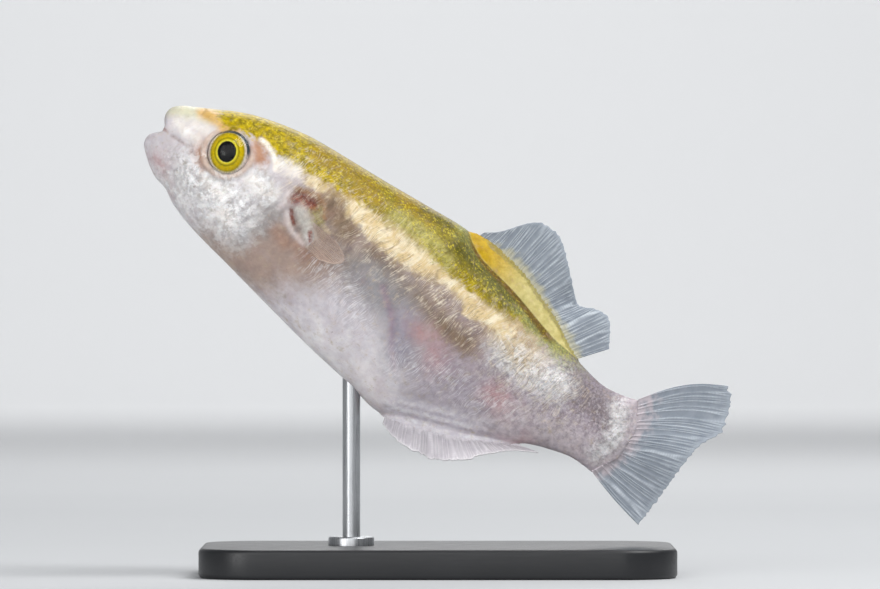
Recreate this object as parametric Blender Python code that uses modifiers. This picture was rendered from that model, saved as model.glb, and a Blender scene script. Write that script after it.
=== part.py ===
"""A golden freshwater pufferfish, swimming nose up, as a life-size model on a display stand.

The fish is modelled level, its snout at the local origin: +X runs to the tail, +Z to the back
and +Y to its right side. An empty then pitches it nose up over the stand. Landmarks of the fish
are written in hundredths of its standard length, snout to root of the tail fin.
"""
import math

import bmesh
import bpy
from mathutils import Euler, Matrix, Vector

# ---- Driving dimensions, in metres and radians ----
STANDARD_LENGTH = 0.075
PITCH = math.radians(33.7)
SNOUT_PLACE = Vector((-0.03794, 0.0, 0.0605))
SEAM = 0.0003

BASE_LENGTH = 0.064
BASE_DEPTH = 0.038
BASE_THICKNESS = 0.004
BASE_CORNER = 0.008
BASE_EDGE = 0.0006
ROD_RADIUS = 0.0012
ROD_COLLAR_RADIUS = 0.0031
ROD_COLLAR_HEIGHT = 0.0012
ROD_STATION = 55.0
ROD_IN_BODY = 0.005

FIN_HALF_THICKNESS = 0.00027
PERCENT = STANDARD_LENGTH / 100.0
SEAM_SHARE = SEAM / PERCENT

# ---- Landmarks of the body: (station along the fish, value), in hundredths of its length ----
BACK = ((2.6, 6.3), (5, 7.5), (7.5, 8.8), (10, 10.1), (14, 11.7), (20, 13.2), (25, 14.0), (40, 14.7),
        (50, 15.3), (56, 15.6), (59, 14.1), (62, 12.7), (70, 11.0), (80, 8.2), (86.5, 7.0), (93, 5.9),
        (97, 6.5), (100, 7.5))
BELLY = ((2.6, -6.5), (5, -7.8), (7.2, -8.3), (10, -9.9), (15, -11.6), (25, -13.7), (35, -15.8),
         (45, -17.8), (55, -19.4), (61, -20.6), (66, -18.7), (75, -15.7), (84, -11.9), (90, -9.4),
         (96, -8.1), (100, -8.4))
HALF_WIDTH = ((2.6, 5.0), (7, 7.0), (13, 8.8), (20, 9.9), (30, 10.7), (42, 11.0), (55, 10.2),
              (68, 8.1), (80, 5.3), (90, 3.2), (100, 1.5))
WIDEST_HEIGHT = ((2.6, -0.4), (13, 0.8), (30, 0.4), (50, -1.6), (75, -2.2), (100, -0.6))
SQUARENESS = ((2.6, 2.25), (13, 2.5), (30, 2.35), (60, 2.1), (100, 2.0))

# The lips as five rings from the mouth's crease out to the muzzle. Each row gives the ring's
# (along, height) over and under the mouth, and its (along, sideways) at the corner.
LIP_RINGS = (
    ((1.5, 0.55), (1.4, 0.15), (2.0, 2.0)),
    ((0.75, 1.25), (0.35, -0.85), (1.75, 2.9)),
    ((0.0, 2.6), (-0.55, -2.2), (1.35, 3.6)),
    ((0.15, 4.2), (-0.35, -3.8), (1.4, 4.2)),
    ((1.2, 5.45), (0.8, -5.0), (1.9, 4.6)),
    ((2.6, 6.3), (2.6, -6.5), (2.6, 5.0)),
)
LIP_JOINT = 2.6
MOUTH_LINE = 0.35
GILL_JOINT = 27.0
STALK_JOINT = 88.0
STALK_END = 100.0
STALK_END_BULGE = 3.0
RING_BLEND = 1.5

# ---- Landmarks of the fins: (along, height) ----
LOBE_LEAST_HEIGHT = 0.45
DORSAL_LOBE = ((57, 16.0), (62, 16.3), (68, 15.6), (75, 13.2), (80, 11.0), (84, 8.7), (86.5, 7.5))
DORSAL_ROOT_SPAN = (59.0, 86.2)
DORSAL_EDGE = ((59.6, 16.9), (62, 18.8), (66, 23.5), (69, 24.3), (72, 23.5), (76, 20), (79.4, 16.7),
               (81.3, 15.5), (84, 16.6), (86.6, 16.7), (88.3, 14.8), (90, 12))
DORSAL_RAYS = 26
ANAL_LOBE = ((62, -21.2), (67, -20.0), (72, -18.4), (78, -16.0), (86, -12.2))
ANAL_ROOT_SPAN = (63.0, 86.0)
ANAL_EDGE = ((63.4, -21.9), (65.7, -22.7), (69, -23.2), (72, -22.8), (75, -22.2), (79, -19.6),
             (81.5, -16.8), (85, -13.4), (89.6, -10.7))
ANAL_RAYS = 20
TAIL_ROOT_SPAN = (7.3, -8.1)
TAIL_EDGE = ((111.5, 18.3), (113.5, 16.6), (115.3, 11), (113.3, 6.5), (112.7, 0), (112.5, -6),
             (112.2, -11.6))
TAIL_RAYS = 18
PECTORAL_ROOT = ((32.8, 1.4), (33.9, -0.9), (34.6, -3.2))
PECTORAL_EDGE = ((38.6, 0.8), (41.1, -0.5), (41.7, -1.7), (40.4, -2.9), (37.6, -3.7))
PECTORAL_RAYS = 9

# ---- Eyes, in hundredths of the length and degrees ----
EYE_ALONG = 13.7
EYE_HEIGHT = 3.3
EYE_RADIUS = 4.1
EYE_HALF_DEPTH = 2.9
EYE_INSET = 1.0
EYE_FORWARD_TURN = math.radians(18)
EYE_UPWARD_TURN = math.radians(0)

RING_POINTS = 32
LOBE_RINGS = 14
RING_STEP_FINE = 1.6
RING_STEP = 2.8


def eased(points, along):
    """The height of a smooth monotone curve through (station, value) points."""
    stations = [p[0] for p in points]
    values = [p[1] for p in points]
    if along <= stations[0]:
        return values[0]
    if along >= stations[-1]:
        return values[-1]
    last = len(points) - 1
    slopes = [(values[i + 1] - values[i]) / (stations[i + 1] - stations[i]) for i in range(last)]

    def tangent(i):
        if i in (0, last):
            return slopes[0 if i == 0 else -1]
        before, after = slopes[i - 1], slopes[i]
        return 0.0 if before * after <= 0 else 2 * before * after / (before + after)

    i = next(k for k in range(last) if along <= stations[k + 1])
    span = stations[i + 1] - stations[i]
    t = (along - stations[i]) / span
    return ((2 * t ** 3 - 3 * t ** 2 + 1) * values[i] + (t ** 3 - 2 * t ** 2 + t) * span * tangent(i)
            + (3 * t ** 2 - 2 * t ** 3) * values[i + 1] + (t ** 3 - t ** 2) * span * tangent(i + 1))


def through(points, share):
    """The point at a share of the way along a smooth curve through points of any dimension."""
    points = [Vector(p) for p in points]
    lengths = [0.0]
    for start, end in zip(points, points[1:]):
        lengths.append(lengths[-1] + (end - start).length)
    target = min(max(share, 0.0), 1.0) * lengths[-1]
    i = next(k for k in range(len(points) - 1) if target <= lengths[k + 1] + 1e-9)
    t = (target - lengths[i]) / (lengths[i + 1] - lengths[i])
    before = points[i - 1] if i else points[i] * 2 - points[i + 1]
    after = points[i + 2] if i + 2 < len(points) else points[i + 1] * 2 - points[i]
    return 0.5 * (2 * points[i] + (points[i + 1] - before) * t
                  + (2 * before - 5 * points[i] + 4 * points[i + 1] - after) * t ** 2
                  + (3 * points[i] - before - 3 * points[i + 1] + after) * t ** 3)


def fish_point(along, sideways, height):
    """A point of the level fish, in metres."""
    return Vector((along, sideways, height)) * PERCENT


def body_half_width(along, height):
    """How far the body's side stands from its midline at a station and a height."""
    widest = eased(WIDEST_HEIGHT, along)
    edge = eased(BACK, along) if height > widest else eased(BELLY, along)
    power = eased(SQUARENESS, along)
    share = min(abs((height - widest) / (edge - widest)), 1.0)
    return eased(HALF_WIDTH, along) * (1 - share ** power) ** (1 / power)


def body_height(along, sideways, side):
    """The height of the body's back (side 1) or belly (side -1) at a distance from its midline."""
    widest = eased(WIDEST_HEIGHT, along)
    edge = eased(BACK if side > 0 else BELLY, along)
    power = eased(SQUARENESS, along)
    share = min(abs(sideways) / eased(HALF_WIDTH, along), 1.0)
    return widest + (edge - widest) * (1 - share ** power) ** (1 / power)


def ring(over, under, corner, widest, power):
    """One closed ring: over and under are (along, height), corner is (along, sideways)."""
    points = []
    for k in range(RING_POINTS):
        turn = 2 * math.pi * k / RING_POINTS
        up = abs(math.cos(turn)) ** (2 / power)
        out = abs(math.sin(turn)) ** (2 / power) * (1 if math.sin(turn) >= 0 else -1)
        end = over if math.cos(turn) >= 0 else under
        blend = up ** RING_BLEND
        points.append(fish_point(corner[0] + (end[0] - corner[0]) * blend, corner[1] * out,
                                 widest + (end[1] - widest) * up))
    return points


def body_stations():
    """The stations of the body's rings: closer together on the head and behind the back fin's front."""
    stations = [LIP_JOINT]
    while stations[-1] < STALK_END - RING_STEP_FINE * 1.5:
        fine = stations[-1] < GILL_JOINT or stations[-1] > DORSAL_LOBE[0][0] - RING_STEP
        stations.append(stations[-1] + (RING_STEP_FINE if fine else RING_STEP))
    return stations + [STALK_END]


def body_rings():
    """Every ring of the whole body, from the mouth's crease to the end of the tail stalk."""
    rings = []
    steps_per_lip_ring = 2
    lip_steps = steps_per_lip_ring * (len(LIP_RINGS) - 1)
    muzzle_widest = eased(WIDEST_HEIGHT, LIP_JOINT)
    for k in range(lip_steps):
        row = k / steps_per_lip_ring
        share = k / lip_steps
        over, under, corner = (row_blend([r[j] for r in LIP_RINGS], row) for j in range(3))
        widest = MOUTH_LINE + (muzzle_widest - MOUTH_LINE) * share ** 2
        rings.append(ring(over, under, corner, widest, 2.0 + 0.25 * share))
    for station in body_stations():
        bulge = STALK_END_BULGE * max(0.0, (station - STALK_JOINT) / (STALK_END - STALK_JOINT)) ** 2
        rings.append(ring((station, eased(BACK, station)), (station, eased(BELLY, station)),
                          (station + bulge, eased(HALF_WIDTH, station)),
                          eased(WIDEST_HEIGHT, station), eased(SQUARENESS, station)))
    return rings


def stalk_end(height):
    """The station of the tail stalk's rounded end at a height."""
    widest = eased(WIDEST_HEIGHT, STALK_END)
    edge = eased(BACK if height > widest else BELLY, STALK_END)
    share = min((height - widest) / (edge - widest), 1.0)
    return STALK_END + STALK_END_BULGE * (1 - share ** RING_BLEND)


def row_blend(rows, row):
    """A smooth value between numbered rows, at a row number that may be a fraction."""
    i = min(int(row), len(rows) - 2)
    t = row - i
    ends = [Vector(rows[j]) for j in (max(i - 1, 0), i, i + 1, min(i + 2, len(rows) - 1))]
    return 0.5 * (2 * ends[1] + (ends[2] - ends[0]) * t
                  + (2 * ends[0] - 5 * ends[1] + 4 * ends[2] - ends[3]) * t ** 2
                  + (3 * ends[1] - ends[0] - 3 * ends[2] + ends[3]) * t ** 3)


def lofted(rings):
    """A closed bmesh through rings of equal point count, capped at both ends."""
    bm = bmesh.new()
    loops = [[bm.verts.new(p) for p in points] for points in rings]
    for first, second in zip(loops, loops[1:]):
        count = len(first)
        for k in range(count):
            bm.faces.new((first[k], first[(k + 1) % count], second[(k + 1) % count], second[k]))
    bm.faces.new(loops[0])
    bm.faces.new(loops[-1])
    bmesh.ops.recalc_face_normals(bm, faces=bm.faces)
    return bm


def keep_side(bm, point, outward):
    """Cut a closed bmesh by a plane, drop what lies on its outward side and close the cut."""
    geometry = bm.verts[:] + bm.edges[:] + bm.faces[:]
    cut = bmesh.ops.bisect_plane(bm, geom=geometry, plane_co=point, plane_no=outward,
                                 clear_outer=True, dist=1e-7)
    rim = [e for e in cut["geom_cut"] if isinstance(e, bmesh.types.BMEdge) and e.is_boundary]
    bmesh.ops.triangle_fill(bm, edges=rim, use_beauty=True, normal=outward)
    bmesh.ops.recalc_face_normals(bm, faces=bm.faces)


def painted(name, colour, roughness, metallic=0.0):
    """A Principled material in one colour."""
    material = bpy.data.materials.new(name)
    material.use_nodes = True
    shader = material.node_tree.nodes["Principled BSDF"]
    shader.inputs["Base Color"].default_value = (*colour, 1.0)
    shader.inputs["Roughness"].default_value = roughness
    shader.inputs["Metallic"].default_value = metallic
    return material


class Model:
    """The scene's collections, the empty that pitches the fish, and how objects join them."""

    def __init__(self):
        self.parts = bpy.data.collections.new("golden_pufferfish")
        self.cutters = bpy.data.collections.new("cutters")
        for collection in (self.parts, self.cutters):
            bpy.context.scene.collection.children.link(collection)
        self.pose = bpy.data.objects.new("fish_pose", None)
        self.pose.location = SNOUT_PLACE
        self.pose.rotation_euler = (0.0, PITCH, 0.0)
        self.parts.objects.link(self.pose)

    def add(self, name, bm, material, on_fish=True, crease=math.radians(40)):
        """Make a bmesh an object, smooth shaded, on the fish or on the floor."""
        mesh = bpy.data.meshes.new(name)
        bm.to_mesh(mesh)
        bm.free()
        mesh.shade_smooth()
        mesh.set_sharp_from_angle(angle=crease)
        piece = bpy.data.objects.new(name, mesh)
        mesh.materials.append(material)
        self.parts.objects.link(piece)
        if on_fish:
            piece.parent = self.pose
        return piece

    def cutter(self, name, bm, on_fish=True):
        """Make a bmesh a hidden cutter."""
        mesh = bpy.data.meshes.new(name)
        bm.to_mesh(mesh)
        bm.free()
        tool = bpy.data.objects.new(name, mesh)
        tool.hide_render = True
        tool.display_type = "WIRE"
        self.cutters.objects.link(tool)
        if on_fish:
            tool.parent = self.pose
        return tool

    @staticmethod
    def cut(piece, tool):
        """Subtract a cutter from a piece."""
        boolean = piece.modifiers.new(f"less_{tool.name}", "BOOLEAN")
        boolean.operation = "DIFFERENCE"
        boolean.solver = "EXACT"
        boolean.object = tool


def build_body(model, skin, pale_skin):
    """Head, lips, trunk and tail stalk: one loft, parted by thin cuts."""
    whole = lofted(body_rings())
    half = SEAM_SHARE / 2

    def part(name, material, planes):
        piece = whole.copy()
        for point, outward in planes:
            keep_side(piece, fish_point(*point), Vector(outward))
        return model.add(name, piece, material)

    back, front, up, down = (1, 0, 0), (-1, 0, 0), (0, 0, 1), (0, 0, -1)
    lip_back = ((LIP_JOINT - half, 0, 0), back)
    part("upper_lip", pale_skin, (lip_back, ((0, 0, MOUTH_LINE + half), down)))
    part("lower_lip", pale_skin, (lip_back, ((0, 0, MOUTH_LINE - half), up)))
    head = part("head", skin, (((LIP_JOINT + half, 0, 0), front), ((GILL_JOINT - half, 0, 0), back)))
    trunk = part("trunk", skin, (((GILL_JOINT + half, 0, 0), front), ((STALK_JOINT - half, 0, 0), back)))
    part("tail_stalk", skin, (((STALK_JOINT + half, 0, 0), front),))
    whole.free()
    return head, trunk


def eye_matrix(side, grow=0.0):
    """The place, turn and radii of an eye; side is -1 for the fish's left and 1 for its right."""
    out = body_half_width(EYE_ALONG, EYE_HEIGHT) - EYE_INSET
    place = fish_point(EYE_ALONG, side * out, EYE_HEIGHT)
    turn = Euler((side * (EYE_UPWARD_TURN - math.pi / 2), 0.0, side * EYE_FORWARD_TURN))
    radius = EYE_RADIUS * PERCENT + grow
    half_depth = EYE_HALF_DEPTH * PERCENT + grow
    return (Matrix.Translation(place) @ turn.to_matrix().to_4x4()
            @ Matrix.Diagonal((radius, radius, half_depth, 1.0)))


def build_eyes(model, head, iris):
    """Each eye is a flattened ball in a socket cut a seam wider than the ball."""
    for name, side in (("left", -1), ("right", 1)):
        socket = bmesh.new()
        bmesh.ops.create_uvsphere(socket, u_segments=18, v_segments=10, radius=1.0,
                                  matrix=eye_matrix(side, SEAM))
        model.cut(head, model.cutter(f"eye_socket_{name}", socket))
        ball = bmesh.new()
        bmesh.ops.create_uvsphere(ball, u_segments=16, v_segments=8, radius=1.0, matrix=eye_matrix(side))
        model.add(f"eye_{name}", ball, iris)


def lobe_edge(along, edge, side):
    """The height of a lobe's outer edge, never thinner than a solid ridge needs."""
    foot = body_height(along, 0, side) + side * SEAM_SHARE
    return foot + side * max(side * (eased(edge, along) - foot), LOBE_LEAST_HEIGHT)


def build_lobe(model, name, edge, side, half_width, lean, material):
    """The fleshy ridge under a fin: it follows the body below and rises to its own edge.

    side is 1 on the back and -1 on the belly. lean moves the edge sideways, per unit of height.
    """
    rings = []
    first, last = edge[0][0], edge[-1][0]
    across = 5
    for k in range(LOBE_RINGS + 1):
        along = first + (last - first) * k / LOBE_RINGS
        wide = half_width * (1 - 0.45 * k / LOBE_RINGS)
        foot = body_height(along, 0, side) + side * SEAM_SHARE
        tall = side * (lobe_edge(along, edge, side) - foot)
        points = []
        for j in range(across):
            sideways = wide * (1 - 2 * j / (across - 1))
            low = body_height(along, sideways, side) + side * SEAM_SHARE
            points.append(fish_point(along, sideways, low))
        for share, narrow in ((0.35, -0.88), (0.75, -0.6), (1.0, -0.3),
                              (1.0, 0.3), (0.75, 0.6), (0.35, 0.88)):
            height = foot + side * tall * share
            sideways = wide * narrow + lean * tall * share
            low = body_height(along, sideways, side) + side * (SEAM_SHARE + 0.12)
            points.append(fish_point(along, sideways, max(height * side, low * side) * side))
        rings.append(points)
    return model.add(name, lofted(rings), material)


def build_fin(model, name, root, tip, rays, rows, material, bow=None, notch=0.035):
    """A thin fin between a root curve and an edge curve, with a scallop between each two rays.

    root and tip turn a share along the fin into a level point. bow gives how far a ray arches.
    """
    columns = 2 * rays

    def middle(share, reach):
        start, end = root(share), tip(share)
        valley = notch * math.sin(math.pi * rays * share) ** 2
        arch = math.sin(math.pi * reach) * bow(share) if bow else Vector((0, 0, 0))
        return start + (end - start) * reach * (1 - valley * reach) + arch

    faces = []
    for i in range(columns + 1):
        share = i / columns
        line = []
        for j in range(rows + 1):
            reach = j / rows
            step = 1e-3
            along = middle(min(share + step, 1), reach) - middle(max(share - step, 0), reach)
            outward = middle(share, min(reach + step, 1)) - middle(share, max(reach - step, 0))
            normal = along.cross(outward).normalized()
            centre = middle(share, reach)
            line.append((centre + normal * FIN_HALF_THICKNESS, centre - normal * FIN_HALF_THICKNESS))
        faces.append(line)
    bm = bmesh.new()
    sheets = [[[bm.verts.new(pair[s]) for pair in line] for line in faces] for s in range(2)]
    for sheet, order in zip(sheets, (1, -1)):
        for i in range(columns):
            for j in range(rows):
                corners = (sheet[i][j], sheet[i + 1][j], sheet[i + 1][j + 1], sheet[i][j + 1])
                bm.faces.new(corners[::order])
    rim = [(i, 0) for i in range(columns)] + [(columns, j) for j in range(rows)]
    rim += [(i, rows) for i in range(columns, 0, -1)] + [(0, j) for j in range(rows, 0, -1)]
    for (i, j), (m, n) in zip(rim, rim[1:] + rim[:1]):
        bm.faces.new((sheets[0][i][j], sheets[0][m][n], sheets[1][m][n], sheets[1][i][j]))
    bmesh.ops.recalc_face_normals(bm, faces=bm.faces)
    return model.add(name, bm, material)


def build_middle_fins(model, skin, membrane):
    """The dorsal, anal and tail fins, with the fleshy ridges of the first two."""
    build_lobe(model, "dorsal_fin_base", DORSAL_LOBE, 1, 1.9, 0.0, skin)
    build_lobe(model, "anal_fin_base", ANAL_LOBE, -1, 1.7, -0.35, skin)

    fin_gap = SEAM_SHARE * 1.1

    def dorsal_root(share):
        along = DORSAL_ROOT_SPAN[0] + (DORSAL_ROOT_SPAN[1] - DORSAL_ROOT_SPAN[0]) * share
        return fish_point(along, 0, lobe_edge(along, DORSAL_LOBE, 1) + fin_gap)

    def dorsal_tip(share):
        along, height = through(DORSAL_EDGE, share)
        sway = 3.2 * math.exp(-((share - 0.7) / 0.12) ** 2) - 1.2 * math.sin(math.pi * share)
        return fish_point(along, sway, height)

    build_fin(model, "dorsal_fin", dorsal_root, dorsal_tip, DORSAL_RAYS, 4, membrane)

    def anal_root(share):
        along = ANAL_ROOT_SPAN[0] + (ANAL_ROOT_SPAN[1] - ANAL_ROOT_SPAN[0]) * share
        return fish_point(along, -0.4, lobe_edge(along, ANAL_LOBE, -1) - fin_gap)

    def anal_tip(share):
        along, height = through(ANAL_EDGE, share)
        sway = -4.6 * math.sin(math.pi * (0.12 + 0.8 * share)) + 2.2 * math.exp(-((share - 0.36) / 0.07) ** 2)
        return fish_point(along, sway, height)

    build_fin(model, "anal_fin", anal_root, anal_tip, ANAL_RAYS, 3, membrane)

    def tail_root(share):
        height = TAIL_ROOT_SPAN[0] + (TAIL_ROOT_SPAN[1] - TAIL_ROOT_SPAN[0]) * share
        return fish_point(stalk_end(height) + fin_gap, 0, height)

    def tail_tip(share):
        along, height = through(TAIL_EDGE, share)
        return fish_point(along, 0.9 * math.sin(3 * math.pi * share), height)

    def tail_bow(share):
        return fish_point(-0.5 * (1 - share), 0, 1.3 * (1 - share) ** 2 - 0.3 * share)

    build_fin(model, "tail_fin", tail_root, tail_tip, TAIL_RAYS, 5, membrane, tail_bow)


def build_pectoral_fins(model, membrane):
    """The fins behind the gills, folded back a little clear of the body."""
    for name, side in (("left", -1), ("right", 1)):

        def root(share, side=side):
            along, height = through(PECTORAL_ROOT, share)
            return fish_point(along, side * (body_half_width(along, height) + 1.4 * SEAM_SHARE), height)

        def tip(share, side=side):
            along, height = through(PECTORAL_EDGE, share)
            return fish_point(along, side * (body_half_width(along, height) + 3.6), height)

        build_fin(model, f"pectoral_fin_{name}", root, tip, PECTORAL_RAYS, 3, membrane)


def build_stand(model, trunk, lacquer, steel):
    """A flat base with rounded corners, and a rod with a collar that runs up into the belly."""
    plate = bmesh.new()
    bmesh.ops.create_cube(plate, size=1.0, matrix=Matrix.Translation((0, 0, BASE_THICKNESS / 2))
                          @ Matrix.Diagonal((BASE_LENGTH, BASE_DEPTH, BASE_THICKNESS, 1.0)))
    upright = [e for e in plate.edges if abs(e.verts[0].co.z - e.verts[1].co.z) > BASE_THICKNESS / 2]
    bmesh.ops.bevel(plate, geom=upright, offset=BASE_CORNER, segments=6, profile=0.5, affect="EDGES")
    base = model.add("stand_base", plate, lacquer, on_fish=False)
    edge = base.modifiers.new("eased_edge", "BEVEL")
    edge.width = BASE_EDGE
    edge.segments = 2
    edge.limit_method = "ANGLE"
    edge.angle_limit = math.radians(60)

    belly = fish_point(ROD_STATION, 0, eased(BELLY, ROD_STATION))
    entry = Euler((0, PITCH, 0)).to_matrix() @ belly + SNOUT_PLACE
    foot = BASE_THICKNESS + SEAM
    top = entry.z + ROD_IN_BODY
    profile = ((0.0, top), (ROD_RADIUS * 0.8, top), (ROD_RADIUS, top - ROD_RADIUS * 0.2),
               (ROD_RADIUS, foot + ROD_COLLAR_HEIGHT), (ROD_COLLAR_RADIUS * 0.85, foot + ROD_COLLAR_HEIGHT),
               (ROD_COLLAR_RADIUS, foot + ROD_COLLAR_HEIGHT * 0.7), (ROD_COLLAR_RADIUS, foot), (0.0, foot))
    line = bmesh.new()
    points = [line.verts.new((radius, 0, height)) for radius, height in profile]
    for start, end in zip(points, points[1:]):
        line.edges.new((start, end))
    rod = model.add("stand_rod", line, steel, on_fish=False)
    rod.location = (entry.x, 0, 0)
    turned = rod.modifiers.new("turned", "SCREW")
    turned.steps = 16
    turned.render_steps = 16
    turned.use_merge_vertices = True
    turned.merge_threshold = 1e-5

    bore = bmesh.new()
    bmesh.ops.create_cone(bore, cap_ends=True, segments=16, radius1=ROD_RADIUS + SEAM,
                          radius2=ROD_RADIUS + SEAM, depth=4 * ROD_IN_BODY,
                          matrix=Matrix.Translation((entry.x, 0, top + SEAM - 2 * ROD_IN_BODY)))
    model.cut(trunk, model.cutter("rod_bore", bore, on_fish=False))


def main():
    """Clear the scene and build the fish and its stand."""
    for leftover in list(bpy.data.objects):
        bpy.data.objects.remove(leftover, do_unlink=True)
    skin = painted("golden_skin", (0.50, 0.42, 0.16), 0.35)
    pale_skin = painted("pale_skin", (0.72, 0.69, 0.70), 0.35)
    membrane = painted("fin_membrane", (0.42, 0.47, 0.53), 0.3)
    iris = painted("golden_iris", (0.75, 0.55, 0.02), 0.1)
    lacquer = painted("satin_black", (0.02, 0.02, 0.022), 0.4)
    steel = painted("brushed_steel", (0.6, 0.6, 0.6), 0.3, 1.0)
    model = Model()
    head, trunk = build_body(model, skin, pale_skin)
    build_eyes(model, head, iris)
    build_middle_fins(model, skin, membrane)
    build_pectoral_fins(model, membrane)
    build_stand(model, trunk, lacquer, steel)


main()
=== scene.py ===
"""Looks of a life-size golden pufferfish model on a display stand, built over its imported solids.

Points on the fish are written in hundredths of its standard length, in the level fish's own
axes: along (snout to tail), sideways (its right is positive) and height (its back is up).
"""
from __future__ import annotations

import logging
import math
from dataclasses import dataclass
from enum import Enum
from functools import partial
from typing import Callable, Sequence

import bmesh
import bpy
import numpy as np
from mathutils import Euler, Matrix, Vector


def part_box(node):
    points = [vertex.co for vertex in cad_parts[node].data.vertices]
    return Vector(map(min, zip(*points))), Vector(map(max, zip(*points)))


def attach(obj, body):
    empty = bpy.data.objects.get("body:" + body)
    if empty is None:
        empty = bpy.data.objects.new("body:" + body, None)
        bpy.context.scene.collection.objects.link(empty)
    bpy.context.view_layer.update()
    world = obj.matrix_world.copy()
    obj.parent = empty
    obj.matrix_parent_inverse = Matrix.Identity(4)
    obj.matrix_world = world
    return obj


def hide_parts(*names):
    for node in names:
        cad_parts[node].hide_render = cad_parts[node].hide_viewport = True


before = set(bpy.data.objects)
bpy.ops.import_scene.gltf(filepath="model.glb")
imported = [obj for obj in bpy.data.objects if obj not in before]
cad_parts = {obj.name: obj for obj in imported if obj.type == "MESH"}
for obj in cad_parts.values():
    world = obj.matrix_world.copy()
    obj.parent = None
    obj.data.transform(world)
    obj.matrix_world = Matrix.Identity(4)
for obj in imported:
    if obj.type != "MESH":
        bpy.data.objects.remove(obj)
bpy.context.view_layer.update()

Curve = Sequence[tuple[float, float]]
Array = np.ndarray
Place = tuple[float, float, float]
Piece = bpy.types.Object
Node = bpy.types.Node
NodeMaker = Callable[..., bpy.types.Node]
LOG = logging.getLogger("pufferfish")
ROOT = "root"
MM = 0.001


# ---- Small tools ----------------------------------------------------------------------------

def colour(code: str) -> tuple[float, float, float, float]:
    """Turn an sRGB hex value to linear colour.

    Args:
        code: six hex digits.

    Returns:
        Red, green, blue and an alpha of 1.
    """
    parts = [int(code[i:i + 2], 16) / 255 for i in (0, 2, 4)]
    linear = [p / 12.92 if p <= 0.04045 else ((p + 0.055) / 1.055) ** 2.4 for p in parts]
    return (*linear, 1.0)


def set_inputs(node: Node, inputs: dict) -> None:
    """Give a node its input values and its links.

    Args:
        node: the node.
        inputs: input name or index to a value, a hex colour, or the node or socket linked to it.
    """
    for key, value in inputs.items():
        if isinstance(value, Node):
            value = value.outputs[2 if value.bl_idname == "ShaderNodeMix" else 0]
        if isinstance(value, bpy.types.NodeSocket):
            node.id_data.links.new(value, node.inputs[key])
        else:
            node.inputs[key].default_value = colour(value) if isinstance(value, str) else value


def add_node(tree: bpy.types.NodeTree, kind: str, inputs: dict | None = None,
             **settings: object) -> Node:
    """Add a node with its settings, its input values and its links.

    Args:
        tree: the material's node tree.
        kind: the node's type, without the ShaderNode prefix; a Mix is one of colours.
        inputs: as set_inputs takes them.
        settings: attributes of the node.

    Returns:
        The new node.
    """
    node = tree.nodes.new(f"ShaderNode{kind}")
    if kind == "Mix":
        node.data_type = "RGBA"
    for name, value in settings.items():
        setattr(node, name, value)
    set_inputs(node, inputs or {})
    return node


def new_material(name: str) -> tuple[bpy.types.Material, NodeMaker, Node]:
    """Make an empty material with a Principled shader.

    Args:
        name: the material's name.

    Returns:
        The material, add_node for its tree, and its shader node.
    """
    material = bpy.data.materials.new(name)
    material.use_nodes = True
    tree = material.node_tree
    return material, partial(add_node, tree), tree.nodes["Principled BSDF"]


def eased(points: Curve, where: Array | float) -> Array:
    """Read a smooth monotone curve through (station, value) points.

    Args:
        points: the curve's landmarks, in order of station.
        where: the stations to read.

    Returns:
        The values there, held level past both ends.
    """
    x = np.array([p[0] for p in points], float)
    y = np.array([p[1] for p in points], float)
    at = np.clip(np.asarray(where, float), x[0], x[-1])
    slope = np.diff(y) / np.diff(x)
    before, after = slope[:-1], slope[1:]
    product = before * after
    inner = np.where(product > 0, 2 * product / np.where(before + after == 0, 1, before + after), 0)
    tangent = np.concatenate((slope[:1], inner, slope[-1:]))
    i = np.clip(np.searchsorted(x, at, side="right") - 1, 0, len(x) - 2)
    span = x[i + 1] - x[i]
    t = (at - x[i]) / span
    return ((2 * t ** 3 - 3 * t ** 2 + 1) * y[i] + (t ** 3 - 2 * t ** 2 + t) * span * tangent[i]
            + (3 * t ** 2 - 2 * t ** 3) * y[i + 1] + (t ** 3 - t ** 2) * span * tangent[i + 1])


def spline(points: Array, i: Array, t: Array) -> Array:
    """Read a smooth curve through points of any dimension.

    Args:
        points: the landmarks.
        i: the landmark before each place.
        t: how far each place is from that landmark to the next, 0 to 1.

    Returns:
        The places on the curve.
    """
    last = len(points) - 1
    p1, p2 = points[i], points[i + 1]
    p0 = np.where((i > 0)[:, None], points[np.maximum(i - 1, 0)], 2 * p1 - p2)
    p3 = np.where((i + 2 <= last)[:, None], points[np.minimum(i + 2, last)], 2 * p2 - p1)
    t = t[:, None]
    return 0.5 * (2 * p1 + (p2 - p0) * t + (2 * p0 - 5 * p1 + 4 * p2 - p3) * t ** 2
                  + (3 * p1 - p0 - 3 * p2 + p3) * t ** 3)


def through(points: Curve, share: Array) -> Array:
    """Read a smooth curve at shares of its length.

    Args:
        points: the landmarks.
        share: shares of the way along, 0 to 1.

    Returns:
        One point for each share.
    """
    marks = np.array(points, float)
    lengths = np.concatenate(([0.0], np.cumsum(np.linalg.norm(np.diff(marks, axis=0), axis=1))))
    target = np.clip(share, 0, 1) * lengths[-1]
    i = np.clip(np.searchsorted(lengths, target, side="right") - 1, 0, len(marks) - 2)
    return spline(marks, i, (target - lengths[i]) / (lengths[i + 1] - lengths[i]))


def smooth_step(low: float, high: float, value: Array) -> Array:
    """A smooth rise from 0 at low to 1 at high."""
    t = np.clip((value - low) / (high - low), 0, 1)
    return t * t * (3 - 2 * t)


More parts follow.
